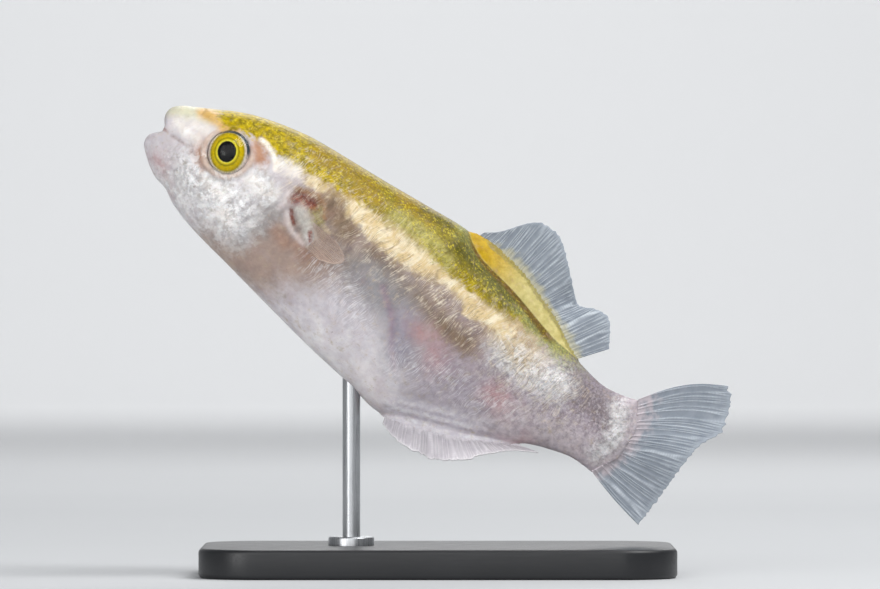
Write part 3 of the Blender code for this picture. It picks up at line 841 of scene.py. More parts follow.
class FishSkin:
    """Living skin of a golden puffer: scaleless, moist and satin, with tiny prickles and a
    layer of silver guanine crystals that glitters on the cheeks and along the flank."""

    pigments: tuple[Pigment, ...] = (
        Pigment("belly", "E2DDE0", "C4BDC4", COARSE, 0.5, 0.9),
        Pigment("lilac", "B2A7B1", "968D99", MEDIUM, 0.5, 0.9, 1.0, (1, 2)),
        Pigment("tan", "AE9484", "927C70", COARSE, 0.5, 0.8, 0.85, (2, 0)),
        Pigment("flank", "AC9A8E", "7C6C68", BRUSH, 0.9, 1.1, 0.9, (0, 1), COARSE),
        Pigment("brown", "8A745E", "6A5846", BRUSH, 1.0, 0.9, 0.88, (2, 1)),
        # Painted shade, in grey.
        Pigment("ash", "969392", "848180", MEDIUM, 0.8, 0.9, 0.8),
        Pigment("copper", "AE8672", "967260", MEDIUM, 0.7, 0.7, 0.6),
        Pigment("slate", "9C9B9F", "807F86", COARSE, 0.6, 1.2, 0.8, (2, 0), COARSE),
        Pigment("violet", "A7A1B2", "948E9F", MEDIUM, 0.6, 0.9, 0.65, (0, 2)),
        Pigment("blush", "C48A82", "AE7A7E", MEDIUM, 1.0, 1.1, 0.7, (1, 0), COARSE),
        Pigment("fold", "9E8496", "8A7488", MEDIUM, 0.6, 1.0, 0.65),
        # Painted light over the belly's own white.
        Pigment("white_belly", "F6F3F4", "E2DCE0", COARSE, 0.6, 1.0, 0.8),
        Pigment("stalk_light", "D2C8CC", "AFA5AC", MEDIUM, 0.6, 1.0, 0.85),
        Pigment("anal_lobe", "F8F5F8", "E0DAE1", MEDIUM, 0.5, 0.8, 0.95),
        # Painted light over the pale band's own colour.
        Pigment("pleat_light", "FCF9FC", "E6E0E8", MEDIUM, 0.4, 0.7, 0.95),
        Pigment("pleat", "B3A8B6", "9F95A6", MEDIUM, 0.4, 0.9, 0.5),
        Pigment("shade", "7C7276", "625A5E", FINE, 1.4, 0.7, 0.75, (0, 2)),
        Pigment("sheen", "DEDAE1", "BDB7C2", MEDIUM, 0.7, 1.0, 0.4, (0, 1), COARSE),
        Pigment("silver", "FAF9F8", "B9B6B8", FOIL, 0.8, 0.7, 0.85, (0, 1), COARSE),
        Pigment("silver", "FFFFFF", "B4B1B3", MEDIUM, 1.2, 0.5, 0.22, (0, 2), FOIL),
        Pigment("cream", "DCC698", "AE9468", BRUSH, 1.3, 0.9, 0.75, (1, 2), MEDIUM),
        Pigment("pale_gold", "FAF0D4", "DFC898", FOIL, 1.1, 0.6, 0.85),
        Pigment("snout", "DCD9B8", "C9C7AE", COARSE, 0.5, 0.9, 0.85),
        Pigment("ochre", "DDB262", "CFA04A", MEDIUM, 0.5, 0.8, 0.85),
        Pigment("gold", "C6AC00", "84740A", MEDIUM, 1.2, 0.4, 1.0, (0, 2), MEDIUM),
        Pigment("olive", "8E8420", "6E5F1E", MEDIUM, 1.8, 0.6, 0.8, (2, 1), COARSE),
        Pigment("amber", "AA881A", "8A6A1C", MEDIUM, 1.4, 0.7, 0.6, (1, 2), COARSE),
        Pigment("lime", "C6BE78", "8F8B4E", BRUSH, 1.1, 0.9, 0.8),
        Pigment("green", "A3A872", "6C7856", FINE, 1.5, 0.6, 0.75, (1, 2), MEDIUM),
        Pigment("dusk", "666236", "464724", MEDIUM, 0.9, 0.9, 0.85),
        Pigment("stipple", "938B93", "625A60", FINE, 2.4, 0.3, 0.6, (0, 1), FINE),
        Pigment("lobe", "D6CA8C", "C0B472", MEDIUM, 0.4, 0.3),
        Pigment("lobe_front", "CCA820", "AE8A16", MEDIUM, 0.3, 1.2),
        Pigment("lobe_top", "A59C58", "80744A", FINE, 1.6, 0.5, 0.75),
        Pigment("groove", "70501F", "5A451D", MEDIUM, 0.3, 0.5, 0.9),
        Pigment("rust", "C08E6C", "AC7854", MEDIUM, 1.2, 1.0, 0.9),
        # Painted shade in the mouth's fold.
        Pigment("crease", "A58E86", "8E7A76", MEDIUM, 0.4, 0.8, 0.7),
        Pigment("gill_rim", "A27E5C", "7E5E42", MEDIUM, 1.0, 0.8, 0.85, (0, 1), FINE),
        Pigment("moss", "A49A58", "7E7250", FINE, 1.6, 0.6, 0.8),
        Pigment("pad", "CDCBC4", "A9A59F", MEDIUM, 0.8, 1.0, 0.85),
        Pigment("white", "FDFAF5", "E6DFD8", FOIL, 0.9, 1.0, 0.9),
        Pigment("arc", "FBF6EE", "EFE6D8", MEDIUM, 0.25, 0.8, 0.9, (0, 1), COARSE),
        # White flesh and painted highlights.
        Pigment("pearl", "EEE6E4", "D9CCCA", MEDIUM, 0.5, 1.0, 0.55, (0, 1), COARSE),
        Pigment("gill", "94503F", "63332C", FINE, 1.0, 0.9, 0.9, (0, 1), FINE),
        Pigment("rim", "D6BFAE", "C4AC9C", MEDIUM, 0.4, 0.7, 0.75),
        # Painted shade where the lips meet.
        Pigment("mouth", "B49C98", "8E7472", MEDIUM, 0.3, 0.6, 0.8),
        Pigment("socket", "B5A296", "9C8A80", MEDIUM, 0.2, 0.4),
    )
    # Specks over the coats: mask, grain and its channel, where its value starts and ends, tint,
    # strength, and the grain and channel that gathers them in patches. Dark olive pigment cells
    # 0.3 to 0.6 mm across and gold flecks lie on the back, crystals on the cheeks and the flank;
    # the white specks on the silver and the glints are painted highlights.
    sprinkles: tuple[tuple, ...] = (
        ("flecks", FINE, 1, 0.50, 0.64, "5E5418", 0.45, MEDIUM, 0),
        ("flecks", STREAK, 0, 0.50, 0.66, "5E4E18", 0.4, MEDIUM, 1),
        ("flecks", FINE, 2, 0.52, 0.66, "E6D23C", 0.6, MEDIUM, 2),
        ("silver", MEDIUM, 1, 0.52, 0.64, "8E8C90", 0.35, FOIL, 1),
        # Painted highlights: white glints on the silver.
        ("silver", MEDIUM, 2, 0.51, 0.63, "FFFFFF", 0.7, FOIL, 0),
        ("freckle", FINE, 1, 0.48, 0.64, "F0E8EC", 0.42, MEDIUM, 2),
        ("freckle", FINE, 2, 0.48, 0.62, "5E5458", 0.38, MEDIUM, 0),
        ("streaks", STREAK, 2, 0.50, 0.68, "FBF0DC", 0.65, MEDIUM, 1),
        ("streaks", STREAK, 1, 0.50, 0.68, "7A6450", 0.55, MEDIUM, 2),
        # Painted highlights: white glints on the belly and the lower flank.
        ("glints", STREAK, 0, 0.48, 0.64, "F8F6F9", 0.6, MEDIUM, 2),
        ("glints", STREAK, 2, 0.50, 0.66, "857E86", 0.4, MEDIUM, 0),
    )
    base_coat: tuple[str, str] = ("C2BCC2", "D4CED1")
    streak_angle: float = math.radians(-72)
    # How far patches gather the specks, and the shift that keeps their amount the same.
    patch_weight: float = 0.55
    patch_shift: float = 0.29
    prickle_gap_mm: float = 0.5
    # The lay of the pattern wanders over this distance, by this much along and in height.
    drift_mm: float = 3.6
    drift: Place = (3.2, 0.0, 2.4)

    def dress(self, piece: Piece) -> None:
        """Give a piece that carries the skin's masks its material.

        Args:
            piece: the skin.
        """
        material, node, shader = new_material("living_puffer_skin")
        axes = POSE.coordinates(node)
        grains = {grain: self.grain_channels(node, axes, grain) for grain in Grain}
        layer = node("Mix", {0: grains[COARSE][2], 6: self.base_coat[0], 7: self.base_coat[1]})
        for coat in self.pigments:
            spread = node("MapRange", {0: grains[coat.grain][coat.channels[0]], 1: 0.36, 2: 0.64})
            tint = node("Mix", {0: spread, 6: coat.light, 7: coat.dark})
            mask = node("Attribute", attribute_name=coat.mask)
            shifted = node("Math", {0: grains[coat.edge_grain][coat.channels[1]], 1: coat.breakup,
                                    2: -0.5 * coat.breakup}, operation="MULTIPLY_ADD")
            level = node("Math", {0: mask.outputs["Fac"], 1: shifted}, operation="ADD")
            edge = node("MapRange", {0: level, 1: 0.5 - coat.edge / 2, 2: 0.5 + coat.edge / 2,
                                     4: coat.strength}, interpolation_type="SMOOTHSTEP")
            layer = node("Mix", {0: edge, 6: layer, 7: tint})
        for mask, grain, channel, start, end, tint, strength, patches, patch_channel in self.sprinkles:
            pattern = node("Math", {0: grains[patches][patch_channel], 1: self.patch_weight,
                                    2: grains[grain][channel]}, operation="MULTIPLY_ADD")
            peaks = node("MapRange", {0: pattern, 1: start + self.patch_shift, 2: end + self.patch_shift,
                                      4: strength})
            where = node("Attribute", attribute_name=mask)
            amount = node("Math", {0: peaks, 1: where.outputs["Fac"]}, operation="MULTIPLY")
            layer = node("Mix", {0: amount, 6: layer, 7: tint})
        relief = self.relief(node, axes, grains)
        set_inputs(shader, relief | {
            "Base Color": layer, "Subsurface Weight": 0.12, "Subsurface Radius": (0.0012, 0.0006, 0.0004),
            "Subsurface Scale": 0.6, "Specular IOR Level": 0.13, "IOR": 1.4})
        piece.data.materials.append(material)

    def grain_channels(self, node: NodeMaker, axes: Node,
                       grain: Grain) -> list[bpy.types.NodeSocket]:
        """Add one pattern, laid along the streaks of the flank.

        Args:
            node: add_node for the material's tree.
            axes: the fish's axes.
            grain: the pattern.

        Returns:
            Its three independent channels.
        """
        vector = axes
        if len(set(grain.value)) > 1:
            # Soft noise bends the lay, as the streaks of the flank curve.
            soft = node("TexNoise", {"Vector": axes, "Scale": POSE.hundredth / self.drift_mm, "Detail": 1.5})
            vector = node("VectorMath", {0: soft.outputs["Color"], 1: self.drift, 2: axes},
                          operation="MULTIPLY_ADD")
        sized = node("Mapping", {"Vector": vector, "Rotation": (0.0, self.streak_angle, 0.0),
                                 "Scale": tuple(size / POSE.hundredth for size in grain.value)},
                     vector_type="TEXTURE")
        if grain is FOIL:
            # Sheets of silver crystals lie like crumpled foil: soft cells, each with its own tone.
            crease = node("TexNoise", {"Vector": sized, "Scale": 1.6, "Detail": 3.0})
            bent = node("VectorMath", {0: crease.outputs["Color"], 1: (1.1,) * 3, 2: sized},
                        operation="MULTIPLY_ADD")
            cells = node("TexVoronoi", {"Vector": bent, "Scale": 1.0, "Smoothness": 1.0, "Detail": 1.0},
                         feature="SMOOTH_F1")
            pattern = node("VectorMath", {0: cells.outputs["Color"], 1: (0.45,) * 3, 2: (0.275,) * 3},
                           operation="MULTIPLY_ADD").outputs[0]
        else:
            pattern = node("TexNoise", {"Vector": sized, "Scale": 1.0, "Detail": 4.0,
                                        "Roughness": 0.62}).outputs["Color"]
        return list(node("SeparateColor", {0: pattern}).outputs)

    def relief(self, node: NodeMaker, axes: Node,
               grains: dict[Grain, list[bpy.types.NodeSocket]]) -> dict[str, Node]:
        """Add the prickles, the crumpled silver and the uneven gloss.

        Args:
            node: add_node for the material's tree.
            axes: the fish's axes.
            grains: the patterns' channels.

        Returns:
            What drives the shader's normal, roughness and metallic inputs.
        """
        silver = node("Attribute", attribute_name="silver").outputs["Fac"]
        prickles = node("TexVoronoi", {"Vector": axes, "Scale": POSE.hundredth / self.prickle_gap_mm},
                        feature="F1")
        amount = node("MapRange", {0: silver, 3: 0.3, 4: 1.6})
        sheets = node("Math", {0: grains[FOIL][1], 1: 1.6, 2: grains[MEDIUM][0]}, operation="MULTIPLY_ADD")
        crumple = node("Math", {0: sheets, 1: amount}, operation="MULTIPLY")
        height = node("Math", {0: prickles, 1: -0.2, 2: crumple}, operation="MULTIPLY_ADD")
        flakes = node("MapRange", {0: grains[FINE][0], 1: 0.42, 2: 0.6, 4: 0.5})
        return {
            "Normal": node("Bump", {"Height": height, "Strength": 0.55, "Distance": 0.0003}),
            "Roughness": node("MapRange", {0: grains[MEDIUM][1], 1: 0.3, 2: 0.7, 3: 0.26, 4: 0.46}),
            "Metallic": node("Math", {0: flakes, 1: silver}, operation="MULTIPLY"),
        }


@dataclass
class Skin:
    """The one skin over head, lips, trunk, tail stalk and the two fleshy ridges."""

    around: int = 176
    ring_step: float = 0.45
    voxel: float = 0.00024
    nodes: tuple[str, ...] = ("head", "upper_lip", "lower_lip", "trunk", "tail_stalk", "dorsal_fin_base",
                              "anal_fin_base")
    # Folds of the living skin: how far each reaches, how high it stands, and its line.
    folds: tuple[tuple, ...] = (
        (0.8, 0.40, ((6.6, 7.0), (8.4, 7.1))), (0.35, -0.2, ((5.4, 6.2), (5.3, 7.4))),
        (0.75, 0.30, ((27.2, 5.2), (26.7, 2.6), (27.4, 0.2), (29.4, -2.2))),
        (0.62, -0.55, ((28.4, 4.0), (29.6, 3.6), (31.0, 4.2))),
        (0.40, -0.55, ((28.8, 0.9), (30.0, -0.3), (31.6, -1.5))),
        (1.15, 0.60, ((30.4, 1.4), (32, 0.4), (34.2, -1.4))),
        (0.6, 0.24, ((31.0, 5.8), (33.2, 4.6), (34.4, 2.8))),
        (0.55, 0.12, ((17.4, 8.2), (20.0, 7.6), (22.4, 6.0))), (0.4, -0.14, SkinMarks.mouth_fold),
        (1.0, 0.08, ((2.4, -3.6), (3.8, -5.6))), (0.9, -0.14, SkinMarks.gut_fold))
    # The lid's raised ring and the furrow round it: radius and height.
    lid_rings: tuple[tuple[float, float], ...] = ((4.45, 0.30), (5.5, -0.12))
    lid_ring_width: float = 0.5
    socket_depth: float = 1.6
    socket_reach: float = 5.0
    # Corners this far inside and outside the lid's edge are drawn onto it.
    lid_band: tuple[float, float] = (0.30, 0.16)

    def build(self) -> None:
        """Loft, join, smooth, sculpt and dress the skin."""
        body = lofted("fish_skin", BODY.rings(self.around, self.ring_step))
        ridges = [lofted(f"ridge_{k}", lobe.rings()) for k, lobe in enumerate((DORSAL_LOBE, ANAL_LOBE))]
        pick(body, *ridges)
        bpy.ops.object.join()
        apply_modifier(body, "one_surface", "REMESH", mode="VOXEL", voxel_size=self.voxel, adaptivity=0.0)
        apply_modifier(body, "even_out", "SMOOTH", factor=0.5, iterations=5)
        self.sculpt(body)
        self.open_eyes(body)
        body.data.shade_smooth()
        for name, values in SkinMarks(POSE.to_fish(read_points(body)[0])).all().items():
            write_mask(body, name, np.clip(values, 0, 2))
        FishSkin().dress(body)
        settle(body, "skin", *self.nodes)

    def sculpt(self, body: Piece) -> None:
        """Raise and sink the folds of the living skin.

        Args:
            body: the skin, in the frame.
        """
        points, normals = read_points(body)
        place = POSE.to_fish(points)
        rise = sum(amount * np.exp(-(near_path(place[:, 0], place[:, 2], path) / reach) ** 2)
                   for reach, amount, path in self.folds)
        eye = SkinMarks(place).eye
        for radius, amount in self.lid_rings:
            rise += amount * np.exp(-((eye - radius) / self.lid_ring_width) ** 2)
        rise *= smooth_step(0.3, 1.5, np.abs(place[:, 1]))
        write_points(body, points + normals * (rise * POSE.percent)[:, None])

    def open_eyes(self, body: Piece) -> None:
        """Sink a socket with a clean round lid edge for each eyeball.

        Args:
            body: the skin, in the frame.
        """
        place = POSE.to_fish(read_points(body)[0])
        for eye in EYES:
            out, radius, direction = eye.polar(place)
            near = (radius < self.socket_reach) & (out > -self.socket_reach / 2)
            inner = near & (radius <= eye.lid - self.lid_band[0])
            band = near & ~inner & (radius < eye.lid + self.lid_band[1])
            place[band] += direction[band] * (eye.lid - radius[band])[:, None]
            drop = np.minimum(-self.socket_depth - out[inner], 0)
            place[inner] += np.array(eye.turn())[:, 2] * drop[:, None]
        write_points(body, POSE.to_world(place))


# ---- Eyes ------------------------------------------------------------------------------------

class EyeFinish:
    """A wet living eye: black pupil, gold iris of fine radial fibres, clear cornea over both."""

    # From the pupil out: its rim of bright gold, the darker middle, the outer gold, and the pale lid skin,
    # made paler still as painted light against the shade that the cornea's edge casts there.
    stops: tuple[tuple[float, str], ...] = (
        (0.0, "08080C"), (0.435, "0B0B10"), (0.455, "4A4006"), (0.475, "F8EC54"), (0.53, "EFDC22"),
        (0.60, "9E8C00"), (0.67, "E2C600"), (0.76, "D8BA00"), (0.83, "B89E04"), (0.875, "D8CDA0"),
        (0.92, "F0E4DA"), (0.96, "EAD8CC"), (1.0, "DEC8BC"))
    # The ramp is read at a quarter of the radius, in hundredths of the fish's length.
    ring_share: float = 0.25
    fibre_scale: Place = (12.0, 1.4, 1.0)

    def iris(self) -> bpy.types.Material:
        """Make the opaque inner eye's material, coloured by the distance from the eye's axis.

        Returns:
            The material.
        """
        material, node, shader = new_material("gold_iris")
        ring, sweep, painted_shade_crescent = (node("Attribute", attribute_name=name).outputs["Fac"]
                                 for name in ("ring", "sweep", "painted_shade_crescent"))
        where = node("CombineXYZ", {"X": sweep, "Y": ring})
        stretched = node("Mapping", {"Vector": where, "Scale": self.fibre_scale})
        fibres = node("TexNoise", {"Vector": stretched, "Scale": 1.0, "Detail": 4.0})
        wobble = node("Math", {0: fibres, 1: 0.22, 2: -0.11}, operation="MULTIPLY_ADD")
        level = node("Math", {0: ring, 1: wobble}, operation="ADD")
        ramp = node("ValToRGB", {0: node("Math", {0: level, 1: self.ring_share}, operation="MULTIPLY")})
        elements = ramp.color_ramp.elements
        for place, code in self.stops[1:-1]:
            elements.new(place).color = colour(code)
        for end in (0, -1):
            elements[end].color = colour(self.stops[end][1])
        shade = node("MapRange", {0: fibres, 1: 0.3, 2: 0.7, 3: 0.7, 4: 1.15})
        tinted = node("Mix", {0: 1.0, 6: ramp, 7: shade}, blend_type="MULTIPLY")
        set_inputs(shader, {
            # Painted shade in slate over the top of the iris.
            "Base Color": node("Mix", {0: painted_shade_crescent, 6: tinted, 7: "39444A"}),
            "Normal": node("Bump", {"Height": fibres, "Strength": 0.3, "Distance": 0.00005}),
            "Roughness": 0.35, "Specular IOR Level": 0.05})
        return material

    @staticmethod
    def cornea() -> bpy.types.Material:
        """Make the clear moist cornea's material; its IOR is near that of a wet cornea over water.

        Returns:
            The material.
        """
        material, node, shader = new_material("clear_cornea")
        haze = node("TexNoise", {"Scale": 900.0, "Detail": 2.0})
        set_inputs(shader, {
            "Base Color": "FFFFFF", "Roughness": node("MapRange", {0: haze, 3: 0.0, 4: 0.05}),
            "IOR": 1.2, "Transmission Weight": 1.0})
        return material


@dataclass
class Eye:
    """An eyeball in its socket: an inner eye with a flat iris, and a thin cornea over it."""

    place: EyePlace
    node: str
    segments: int = 96
    cornea_thickness: float = 0.12
    cornea_drop: float = 1.95
    cornea_reach: float = 4.0
    cornea_steps: int = 14
    cornea_power: float = 2.2
    inner_share: float = 0.965
    # The painted shade crescent's middle and half width as angles, and the radii where it starts and is full.
    painted_shade_crescent_at: float = math.radians(84)
    painted_shade_crescent_fade: tuple[float, float] = (1.35, 0.85)
    painted_shade_crescent_radii: tuple[float, float] = (3.46, 3.6)
    oval: tuple[float, float] = (0.93, 1.04)
    iris: Curve = (
        (0.0, 1.75), (0.9, 1.73), (1.5, 1.64), (1.76, 1.52), (1.84, 1.46), (2.0, 1.52), (2.3, 1.50),
        (2.5, 1.42), (2.9, 1.26), (3.2, 1.08), (3.4, 0.98), (3.47, 0.95), (3.6, 0.88), (3.7, 0.82),
        (3.8, 0.62), (3.88, 0.32), (3.88, 0.05), (3.6, -0.8), (2.6, -1.5), (1.2, -1.9), (0.0, -2.0))

    def turned(self, name: str, profile: Curve, finish: bpy.types.Material) -> None:
        """Spin a profile of (radius, out) points round the eye's axis, and dress the piece.

        Args:
            name: the piece's name.
            profile: from the front pole outwards to the back pole.
            finish: its material.
        """
        turn = np.linspace(0, 2 * math.pi, self.segments, endpoint=False)
        inner = np.array(profile[1:-1])
        rows = np.stack((inner[:, :1] * np.cos(turn), inner[:, :1] * np.sin(turn),
                         np.broadcast_to(inner[:, 1:], (len(inner), self.segments))), axis=2)
        points = np.concatenate((rows.reshape(-1, 3), [(0, 0, profile[0][1])], [(0, 0, profile[-1][1])]))
        n, last = self.segments, (len(inner) - 1) * self.segments
        faces = [(a, d, c, b) for a, b, c, d in loop_faces(len(inner), n)]
        faces += [(last + n, k, (k + 1) % n) for k in range(n)]
        faces += [(last + n + 1, last + (k + 1) % n, last + k) for k in range(n)]
        centre = Matrix.Translation(self.place.centre())
        matrix = POSE.matrix() @ centre @ self.place.turn().to_4x4()
        piece = mesh_piece(name, moved(points, matrix), faces)
        back, up = points[:, 0], -self.place.side * points[:, 1]
        # Pupil and iris are a little taller than wide as the fish hangs, head up.
        level, upright = math.cos(POSE.pitch), math.sin(POSE.pitch)
        write_mask(piece, "ring", np.hypot((back * level + up * upright) / self.oval[0],
                                           (up * level - back * upright) / self.oval[1]))
        angle = np.arctan2(up, back)
        write_mask(piece, "sweep", np.abs(angle))
        # Painted shade: a dark band between the iris and the lid over the top of the eye, where the lid's rim
        # shades the iris.
        away = np.abs(angle - self.painted_shade_crescent_at)
        write_mask(piece, "painted_shade_crescent", smooth_step(*self.painted_shade_crescent_fade, away)
                   * smooth_step(*self.painted_shade_crescent_radii, np.hypot(points[:, 0], points[:, 1])))
        piece.data.materials.append(finish)
        settle(piece, "eye", self.node)

    def dome(self, radius: float) -> float:
        """How far out the cornea's surface lies at a radius."""
        return self.place.half_depth - self.cornea_drop * (radius / self.place.lid) ** self.cornea_power

    def build(self) -> None:
        """Make and dress the inner eye and its cornea."""
        self.turned(f"{self.node}_iris", self.iris, EyeFinish().iris())
        steps = [k / self.cornea_steps for k in range(self.cornea_steps + 1)]
        outside = [(r, self.dome(r)) for r in (self.cornea_reach * math.sin(s * math.pi / 2) for s in steps)]
        inside = [(r * self.inner_share, self.dome(r) - self.cornea_thickness) for r, _ in outside[::-1]]
        inside[-1] = (0.0, inside[-1][1])
        self.turned(f"{self.node}_cornea", outside + inside, EyeFinish.cornea())


# ---- Fins ------------------------------------------------------------------------------------

class FinTone(Enum):
    """How a fin is tinted: edge tint, membrane, rays and flesh at its root."""

    BACK = ("A9B3BE", "76818F", "C6CDD4", "B7B39A")
    TAIL = ("AEB6C0", "7C8795", "C3CAD2", "C4BABF")
    BELLY = ("F8F5F7", "CDC7CE", "E4E0E4", "E4DFE4")
    CHEST = ("D8C6BA", "AE9688", "C8B4A6", "B8A99E")


@dataclass(frozen=True)
class FinFinish:
    """Fin membrane: thin, wet, see-through skin stretched between pale bony rays."""

    tone: FinTone
    clear: float = 0.35
    ray_body: float = 1.0
    rim: float = 0.7
    mottle_mm: float = 1.1

    def dress(self, piece: Piece) -> None:
        """Give a fin its material.

        Args:
            piece: a fin that carries ray, reach, joint and lane attributes.
        """
        edge, membrane, ray, flesh = self.tone.value
        material, node, shader = new_material(f"fin_membrane_{self.tone.name.lower()}")
        rays, reach, joints, lanes = (node("Attribute", attribute_name=name).outputs["Fac"]
                                      for name in ("ray", "reach", "joint", "lane"))
        mottle = node("TexNoise", {"Vector": POSE.coordinates(node), "Scale": POSE.hundredth / self.mottle_mm,
                                   "Detail": 4.0})
        faint = node("MapRange", {0: mottle, 1: 0.3, 2: 0.75, 4: 0.45})
        skin = node("Mix", {0: faint, 6: membrane, 7: edge})
        segment = node("MapRange", {0: joints, 1: -1.0, 3: 0.7})
        # No two rays are alike: each is paler and darker in its own places along its length.
        where = node("CombineXYZ", {"X": lanes, "Y": reach})
        laid = node("Mapping", {"Vector": where, "Scale": (1.7, 2.6, 1.0)})
        uneven = node("TexNoise", {"Vector": laid, "Scale": 1.0, "Detail": 3.0})
        worn = node("MapRange", {0: uneven, 1: 0.32, 2: 0.62, 3: 0.25, 4: 1.25})
        jointed = node("Math", {0: segment, 1: worn}, operation="MULTIPLY")
        strength = node("Math", {0: rays, 1: jointed}, operation="MULTIPLY", use_clamp=True)
        faint_ray = node("Math", {0: strength, 1: 0.15 + 0.85 * self.ray_body}, operation="MULTIPLY")
        rayed = node("Mix", {0: faint_ray, 6: skin, 7: ray})
        rim = node("MapRange", {0: reach, 1: 0.90, 4: self.rim})
        rimmed = node("Mix", {0: rim, 6: rayed, 7: edge})
        ragged = node("Math", {0: mottle, 1: -0.5, 2: reach}, operation="MULTIPLY_ADD")
        root = node("MapRange", {0: ragged, 1: -0.22, 2: 0.02, 3: 0.95, 4: 0.0},
                    interpolation_type="SMOOTHSTEP")
        firm = node("Math", {0: strength, 1: self.ray_body}, operation="MULTIPLY")
        edged = node("Math", {0: firm, 1: rim}, operation="MAXIMUM")
        solid = node("Math", {0: edged, 1: root}, operation="MAXIMUM")
        set_inputs(shader, {
            "Base Color": node("Mix", {0: root, 6: rimmed, 7: flesh}),
            "Alpha": node("MapRange", {0: solid, 3: 1 - self.clear}),
            "Normal": node("Bump", {"Height": mottle, "Strength": 0.25, "Distance": 0.0001}),
            "Roughness": 0.28, "IOR": 1.4})
        piece.data.materials.append(material)


@dataclass
class Fin:
    """A fin between a root line and an edge line, with jointed rays that branch twice."""

    name: str
    root: Callable[[Array], Array]
    tip: Callable[[Array], Array]
    rays: int
    finish: FinFinish
    bow: Callable[[Array], Array] | None = None
    per_ray: int = 12
    rows: int = 44
    ray_half: float = 0.21
    skin_half: float = 0.07
    scallop: float = 0.012
    fray: float = 0.022
    branch_from: float = 0.2
    split: float = 0.17
    second_split: float = 0.11
    ray_width: float = 0.12
    ray_narrowing: float = 0.05
    edge_thinning: float = 0.55
    root_half: float = 0.25
    root_reach: float = 0.06
    joint_length: float = 0.47
    step: float = 2e-3
    seed: int = 1

    def lane(self, share: Array) -> Array:
        """Which ray a place is at; the rays stand a little unevenly."""
        lane = share * self.rays
        return lane + 0.2 * np.sin(1.9 * lane + self.seed) + 0.13 * np.sin(4.3 * lane + 2.0 * self.seed)

    def ray_mask(self, share: Array, reach: Array) -> Array:
        """Work out how much of a place is ray; rays split in two and then in four.

        Args:
            share: places along the root, 0 to 1.
            reach: places from root to edge, 0 to 1.

        Returns:
            The share of ray, 0 to 1.
        """
        lane = self.lane(share)
        across = lane - np.round(lane)
        first = self.split + (0.25 - self.split) * smooth_step(self.branch_from - 0.12,
                                                               self.branch_from + 0.3, reach)
        second = self.second_split * smooth_step(0.65, 1.0, reach)
        width = self.ray_width - self.ray_narrowing * smooth_step(0.1, 0.6, reach)
        return np.maximum.reduce([np.exp(-((across - a * first - b * second) / width) ** 2)
                                  for a in (-1, 1) for b in (-1, 1)])

    def middle(self, share: Array, reach: Array) -> Array:
        """Work out the fin's middle surface.

        Args:
            share: places along the root, 0 to 1.
            reach: places from root to edge, 0 to 1.

        Returns:
            Points in the fish's axes.
        """
        start, end = self.root(share), self.tip(share)
        rng = np.random.default_rng(self.seed)
        wear = np.interp(share, np.linspace(0, 1, self.rays * 4 + 1), rng.random(self.rays * 4 + 1))
        shorter = self.scallop * np.sin(math.pi * self.rays * share) ** 2 + self.fray * wear
        place = start + (end - start) * (reach * (1 - shorter * reach))[:, None]
        if self.bow:
            place = place + self.bow(share) * np.sin(math.pi * reach)[:, None]
        return place

    def faces(self, columns: int) -> list[tuple[int, ...]]:
        """List the faces of both sides and of the rim between them.

        Args:
            columns: strips along the root.

        Returns:
            The faces, as corner numbers.
        """
        line = self.rows + 1
        count = (columns + 1) * line
        faces: list[tuple[int, ...]] = []
        for a in (i * line + j for i in range(columns) for j in range(self.rows)):
            faces.append((a, a + line, a + line + 1, a + 1))
            faces.append((a + 1 + count, a + line + 1 + count, a + line + count, a + count))
        rim = [i * line for i in range(columns)] + [columns * line + j for j in range(self.rows)]
        rim += [i * line + self.rows for i in range(columns, 0, -1)] + list(range(self.rows, 0, -1))
        return faces + [(m + count, n + count, n, m) for m, n in zip(rim, rim[1:] + rim[:1])]

    def build(self, node: str) -> None:
        """Make and dress the fin.

        Args:
            node: the CAD node that it stands for.
        """
        columns = self.rays * self.per_ray
        share, reach = (g.ravel() for g in np.meshgrid(
            np.linspace(0, 1, columns + 1), np.linspace(0, 1, self.rows + 1), indexing="ij"))
        centre, step = self.middle(share, reach), self.step
        along = (self.middle(np.minimum(share + step, 1), reach)
                 - self.middle(np.maximum(share - step, 0), reach))
        outward = (self.middle(share, np.minimum(reach + step, 1))
                   - self.middle(share, np.maximum(reach - step, 0)))
        normal = np.cross(along, outward)
        normal /= np.linalg.norm(normal, axis=1)[:, None]
        mask = self.ray_mask(share, reach)
        half = self.skin_half + (self.ray_half - self.skin_half) * mask * (1 - self.edge_thinning * reach)
        half = half + self.root_half * np.exp(-(reach / self.root_reach) ** 2)
        points = np.concatenate((centre + normal * half[:, None], centre - normal * half[:, None]))
        piece = mesh_piece(self.name, POSE.to_world(points), self.faces(columns))
        length = np.linalg.norm(self.tip(share) - self.root(share), axis=1)
        # Each ray is a chain of short joints, about 0.35 mm long.
        joints = np.sin(2 * math.pi * length * reach / self.joint_length)
        for name, values in (("ray", mask), ("reach", reach), ("joint", joints), ("lane", self.lane(share))):
            write_mask(piece, name, np.tile(values, 2))
        self.finish.dress(piece)
        settle(piece, "fin", node)


def stacked(along: Array, sideways: Array | float, height: Array) -> Array:
    """Put three coordinates together as points."""
    return np.stack((along, np.broadcast_to(sideways, along.shape), height), axis=1)


def swayed(curve: Curve, share: Array, sideways: Array) -> Array:
    """Points along a curve drawn in side view, pushed sideways."""
    edge = through(curve, share)
    return stacked(edge[:, 0], sideways, edge[:, 1])


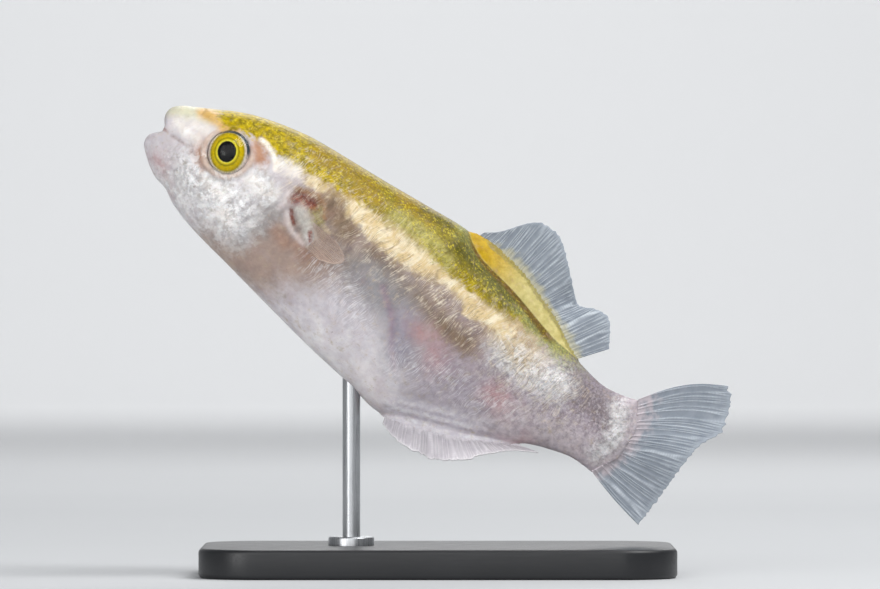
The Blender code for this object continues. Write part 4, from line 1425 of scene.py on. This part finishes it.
class Fins:
    """The dorsal, anal, tail and pectoral fins."""

    sunk: float = 0.6
    dorsal_span: tuple[float, float] = (59.0, 86.2)
    dorsal_edge: Curve = (
        (59.6, 16.9), (62, 18.8), (66, 23.5), (69, 24.3), (72, 23.5), (76, 20), (79.4, 16.7), (81.3, 15.5),
        (84, 16.6), (86.6, 16.7), (88.3, 14.8), (90, 12))
    anal_span: tuple[float, float] = (63.0, 86.0)
    anal_edge: Curve = (
        (63.4, -21.9), (65.7, -22.7), (69, -23.2), (72, -22.8), (75, -22.2), (79, -19.6), (81.5, -16.8),
        (85, -13.4), (89.6, -10.7))
    tail_span: tuple[float, float] = (7.3, -8.1)
    tail_edge: Curve = (
        (111.5, 18.3), (113.5, 16.6), (115.3, 11), (113.3, 6.5), (112.7, 0), (112.5, -6), (112.2, -11.6))
    pectoral_root: Curve = ((32.8, 1.4), (33.9, -0.9), (34.6, -3.2))
    pectoral_edge: Curve = ((38.6, 0.8), (41.1, -0.5), (41.7, -1.7), (40.4, -2.9), (37.6, -3.7))

    @staticmethod
    def spread(span: tuple[float, float], share: Array) -> Array:
        """Places spread evenly over a span."""
        return span[0] + (span[1] - span[0]) * share

    def ridge_root(self, span: tuple[float, float], lobe: Lobe, sideways: float, share: Array) -> Array:
        """A fin's root line, sunk in a fleshy ridge."""
        along = self.spread(span, share)
        return stacked(along, sideways, lobe.edge_at(along) - lobe.side * self.sunk)

    def dorsal(self) -> Fin:
        """Lay out the long fin of the back, which sways from side to side.

        Returns:
            The fin.
        """
        return Fin("dorsal_fin_rays", partial(self.ridge_root, self.dorsal_span, DORSAL_LOBE, 0.0),
                   lambda share: swayed(self.dorsal_edge, share, 3.2 * np.exp(-((share - 0.7) / 0.12) ** 2)
                                        - 1.2 * np.sin(math.pi * share)),
                   26, FinFinish(FinTone.BACK))

    def anal(self) -> Fin:
        """Lay out the fin under the tail end of the trunk, swung to the fish's left.

        Returns:
            The fin.
        """
        return Fin("anal_fin_rays", partial(self.ridge_root, self.anal_span, ANAL_LOBE, -0.4),
                   lambda share: swayed(self.anal_edge, share, -4.6 * np.sin(math.pi * (0.12 + 0.8 * share))
                                        + 2.2 * np.exp(-((share - 0.36) / 0.07) ** 2)),
                   20, FinFinish(FinTone.BELLY, 0.3, 0.75), seed=2, fray=0.09)

    def tail(self) -> Fin:
        """Lay out the tail fin, fanned from the rounded end of the stalk, with bowed rays.

        Returns:
            The fin.
        """
        def root(share: Array) -> Array:
            """The line sunk in the end of the stalk."""
            height = self.spread(self.tail_span, share)
            return stacked(BODY.stalk_end(height) - 1.3 * self.sunk, 0.0, height)

        return Fin("tail_fin_rays", root,
                   lambda share: swayed(self.tail_edge, share, 0.9 * np.sin(3 * math.pi * share)),
                   18, FinFinish(FinTone.TAIL),
                   lambda share: stacked(-0.5 * (1 - share), 0.0, 1.3 * (1 - share) ** 2 - 0.3 * share),
                   per_ray=18, rows=60, branch_from=0.16, split=0.05, root_half=0.6, seed=3, fray=0.03)

    def pectoral(self, side: int, name: str) -> Fin:
        """Lay out the small fin behind a gill.

        Args:
            side: -1 on the fish's left and 1 on its right.
            name: left or right.

        Returns:
            The fin.
        """
        def line(curve: Curve, out: float, share: Array) -> Array:
            """A line that stands out from the flank."""
            edge = through(curve, share)
            return stacked(edge[:, 0], side * (BODY.side_at(edge[:, 0], edge[:, 1]) + out), edge[:, 1])

        return Fin(f"pectoral_fin_{name}_rays", partial(line, self.pectoral_root, -0.2),
                   partial(line, self.pectoral_edge, 3.6), 9, FinFinish(FinTone.CHEST, 0.6, 0.25, 0.3),
                   per_ray=14, rows=30, ray_half=0.07, seed=4)

    def build(self) -> None:
        """Make and dress all five fins."""
        self.dorsal().build("dorsal_fin")
        self.anal().build("anal_fin")
        self.tail().build("tail_fin")
        for side, name in ((-1, "left"), (1, "right")):
            self.pectoral(side, name).build(f"pectoral_fin_{name}")


# ---- Stand -----------------------------------------------------------------------------------

@dataclass(frozen=True)
class StandFinish:
    """A finish of the display stand, with lines laid along it by sanding or brushing."""

    name: str
    shades: tuple[str, str]
    lay: Place
    detail: float
    rough: tuple[float, float]
    strength: float
    depth: float
    clouds: bool
    metallic: float = 0.0
    ior: float = 1.5

    def make(self) -> bpy.types.Material:
        """Make the material.

        Returns:
            The material.
        """
        material, node, shader = new_material(self.name)
        place = node("TexCoord").outputs["Object"]
        laid = node("Mapping", {"Vector": place, "Scale": self.lay})
        lines = node("TexNoise", {"Vector": laid, "Scale": 1.0, "Detail": self.detail})
        tone = node("TexNoise", {"Vector": place, "Scale": 90.0, "Detail": 3.0}) if self.clouds else lines
        set_inputs(shader, {
            "Base Color": node("Mix", {0: tone, 6: self.shades[0], 7: self.shades[1]}),
            "Roughness": node("MapRange", {0: lines, 1: 0.3, 2: 0.7, 3: self.rough[0], 4: self.rough[1]}),
            "Normal": node("Bump", {"Height": lines, "Strength": self.strength, "Distance": self.depth}),
            "Metallic": self.metallic, "IOR": self.ior})
        return material


# Black cast acrylic, satin sanded about 0.15 mm apart along the base: a soft sheen, faint clouds.
SATIN_ACRYLIC = StandFinish("satin_black_acrylic", ("17181A", "232427"), (300.0, 6500.0, 6500.0), 3.0,
                            (0.3, 0.46), 0.12, 0.00005, True, ior=1.49)
# Stainless rod, brushed along its length: fine upright lines in a bright metal.
BRUSHED_STEEL = StandFinish("brushed_stainless_rod", ("A9ABAE", "CED0D2"), (9000.0, 9000.0, 160.0), 2.0,
                            (0.22, 0.4), 0.2, 0.00004, False, metallic=1.0)


@dataclass
class Stand:
    """A flat rounded base and one short upright rod with a collar at its foot."""

    corner: float = 0.008
    edge: float = 0.0006
    rod_radius: float = 0.0012
    collar_height: float = 0.0012
    collar_edge: float = 0.0003
    sides: int = 64
    smooth_under: float = math.radians(35)

    @staticmethod
    def choose(piece: Piece, kind: str, chosen: Callable[..., bool]) -> None:
        """Open a piece in edit mode with some of its edges or faces selected.

        Args:
            piece: the mesh object.
            kind: edge or face.
            chosen: says whether one is selected.
        """
        pick(piece)
        bpy.ops.object.mode_set(mode="EDIT")
        bpy.ops.mesh.select_mode(type=kind.upper())
        bpy.ops.mesh.select_all(action="DESELECT")
        mesh = bmesh.from_edit_mesh(piece.data)
        for part in getattr(mesh, f"{kind}s"):
            part.select_set(chosen(part))
        bmesh.update_edit_mesh(piece.data)

    def bevel(self, piece: Piece, chosen: Callable[[bmesh.types.BMEdge], bool], width: float,
              segments: int) -> None:
        """Round some edges of a piece.

        Args:
            piece: the mesh object.
            chosen: says whether an edge is rounded.
            width: the radius, in metres.
            segments: how many facets make the round.
        """
        self.choose(piece, "edge", chosen)
        bpy.ops.mesh.bevel(offset=width, segments=segments, profile=0.5, affect="EDGES")
        bpy.ops.object.mode_set(mode="OBJECT")

    def base(self) -> None:
        """Make the slab, round its corners, then ease its edges."""
        low, high = (Vector(corner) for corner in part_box("stand_base"))
        pick()
        bpy.ops.mesh.primitive_cube_add(size=1.0, location=(low + high) / 2)
        slab = bpy.context.object
        slab.name = "stand_slab"
        slab.scale = high - low
        bpy.ops.object.transform_apply(location=True, rotation=False, scale=True)

        def upright(edge: bmesh.types.BMEdge) -> bool:
            """Whether an edge stands on end."""
            return abs((edge.verts[0].co - edge.verts[1].co).normalized().z) > 0.9

        def rim(edge: bmesh.types.BMEdge) -> bool:
            """Whether an edge runs round the top or the bottom."""
            return not upright(edge) and edge.calc_face_angle(0.0) > 1.0

        self.bevel(slab, upright, self.corner, 14)
        self.bevel(slab, rim, self.edge, 4)
        self.finish(slab, SATIN_ACRYLIC, "stand_base")

    def rod(self) -> None:
        """Make the collar, draw the rod up out of it, then ease the collar's rim."""
        low, high = (Vector(corner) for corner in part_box("stand_rod"))
        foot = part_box("stand_base")[1][2]
        top = foot + self.collar_height
        radius = (high.x - low.x) / 2
        centre = (low + high) / 2
        pick()
        bpy.ops.mesh.primitive_cylinder_add(
            vertices=self.sides, radius=radius, depth=self.collar_height,
            location=(centre.x, centre.y, foot + self.collar_height / 2))
        piece = bpy.context.object
        piece.name = "stand_upright"
        bpy.ops.object.transform_apply(location=True, rotation=False, scale=False)
        self.choose(piece, "face", lambda face: face.normal.z > 0.9)
        bpy.ops.mesh.inset(thickness=radius - self.rod_radius, depth=0.0)
        bpy.ops.mesh.extrude_region_move(TRANSFORM_OT_translate={
            "value": (0, 0, high.z - foot - self.collar_height)})
        bpy.ops.object.mode_set(mode="OBJECT")

        def rim(edge: bmesh.types.BMEdge) -> bool:
            """Whether an edge is on the collar's upper rim."""
            return all(abs(v.co.z - top) < 1e-6 and math.hypot(v.co.x - centre.x, v.co.y - centre.y)
                       > radius * 0.98 for v in edge.verts)

        self.bevel(piece, rim, self.collar_edge, 4)
        self.finish(piece, BRUSHED_STEEL, "stand_rod")

    def finish(self, piece: Piece, finish: StandFinish, node: str) -> None:
        """Shade and dress a piece of the stand, in place of its solid.

        Args:
            piece: the piece.
            finish: its finish.
            node: the CAD node that it stands for.
        """
        pick(piece)
        bpy.ops.object.shade_smooth_by_angle(angle=self.smooth_under)
        piece.data.materials.clear()
        piece.data.materials.append(finish.make())
        settle(piece, node, node)

    def build(self) -> None:
        """Make the base and the rod."""
        self.base()
        self.rod()


# ---- Studio ----------------------------------------------------------------------------------

@dataclass
class Studio:
    """A pale floor that sweeps up behind, soft lights and a side-on camera."""

    view_width: float = 0.1189
    view_centre: Place = (0.00028, 0.0, 0.03788)
    camera_distance: float = 1.0
    sensor: float = 36.0
    floor_front: float = -2.2
    wall_start: float = 1.6
    bend: float = 0.5
    wall_top: float = 2.4
    half_width: float = 2.6
    subject: Place = (0.0, 0.0, 0.035)
    # Name, place, size and power, and the point that it faces.
    lamps: tuple[tuple[str, Place, float, float, Place], ...] = (
        ("top_light", (0.34, -0.16, 0.62), 0.5, 4.2, subject),
        ("front_light", (-0.35, -1.1, 0.35), 1.5, 10.5, subject),
        ("low_fill", (-0.6, -0.7, 0.14), 0.35, 1.3, subject),
        ("back_light", (0.1, 0.6, 0.5), 0.4, 1.6, subject),
        ("wall_light", (0.0, 1.3, 0.9), 0.6, 4.6, (0.0, 2.0, 0.05)))

    def sweep(self) -> None:
        """Build the floor and the wall behind it as one curved sheet of pale paper."""
        start, bend = self.wall_start, self.bend
        profile = [(self.floor_front, 0.0), (start, 0.0)]
        profile += [(start + bend * math.sin(a), bend - bend * math.cos(a))
                    for a in np.linspace(0, math.pi / 2, 14)[1:]]
        profile.append((start + bend, self.wall_top))
        points = np.array([(x, y, z) for y, z in profile for x in (-self.half_width, self.half_width)])
        faces = [(2 * k, 2 * k + 1, 2 * k + 3, 2 * k + 2) for k in range(len(profile) - 1)]
        floor = mesh_piece("studio_sweep", points, faces)
        # Matt seamless backdrop paper: no gloss, and only faint clouds in its tone.
        material, node, shader = new_material("pale_paper_sweep")
        place = node("TexCoord").outputs["Object"]
        tint = node("Mix", {0: node("TexNoise", {"Vector": place, "Scale": 6.0}), 6: "C6C8CA", 7: "CCCED0"})
        # Painted light: the paper is made lighter towards the wall, which the lamps reach less.
        painted_wall_light = node("MapRange", {0: node("SeparateXYZ", {0: place}).outputs["Y"], 1: 0.3, 2: 1.5})
        set_inputs(shader, {"Base Color": node("Mix", {0: painted_wall_light, 6: tint, 7: "F6F7F8"}), "Roughness": 0.9})
        floor.data.materials.append(material)

    def light(self) -> None:
        """Set the soft square lamps and the soft light all round."""
        for name, place, size, power, target in self.lamps:
            data = bpy.data.lights.new(name, "AREA")
            data.size = size
            data.energy = power
            lamp = bpy.data.objects.new(name, data)
            lamp.location = place
            lamp.rotation_euler = (Vector(target) - Vector(place)).to_track_quat("-Z", "Y").to_euler()
            bpy.context.scene.collection.objects.link(lamp)
        world = bpy.data.worlds.new("soft_room")
        bpy.context.scene.world = world
        world.use_nodes = True
        set_inputs(world.node_tree.nodes["Background"], {0: "E8EAEE", 1: 0.28})
        bpy.context.scene.view_settings.view_transform = "Standard"

    def camera(self) -> None:
        """Stand the camera side-on to the fish."""
        data = bpy.data.cameras.new("side_camera")
        data.sensor_width = self.sensor
        data.lens = self.sensor * self.camera_distance / self.view_width
        data.clip_start = 0.01
        camera = bpy.data.objects.new("side_camera", data)
        camera.location = Vector(self.view_centre) + Vector((0, -self.camera_distance, 0))
        camera.rotation_euler = (math.pi / 2, 0, 0)
        bpy.context.scene.collection.objects.link(camera)
        bpy.context.scene.camera = camera

    def build(self) -> None:
        """Set the floor, the lights and the camera."""
        self.sweep()
        self.light()
        self.camera()


def main() -> None:
    """Build the fish and its stand in order, and report each piece."""
    logging.basicConfig(level=logging.INFO, format="%(name)s: %(message)s")
    pick()
    Skin().build()
    for place, node in zip(EYES, ("eye_left", "eye_right")):
        Eye(place, node).build()
    Fins().build()
    Stand().build()
    Studio().build()


if __name__ == "__main__":
    main()
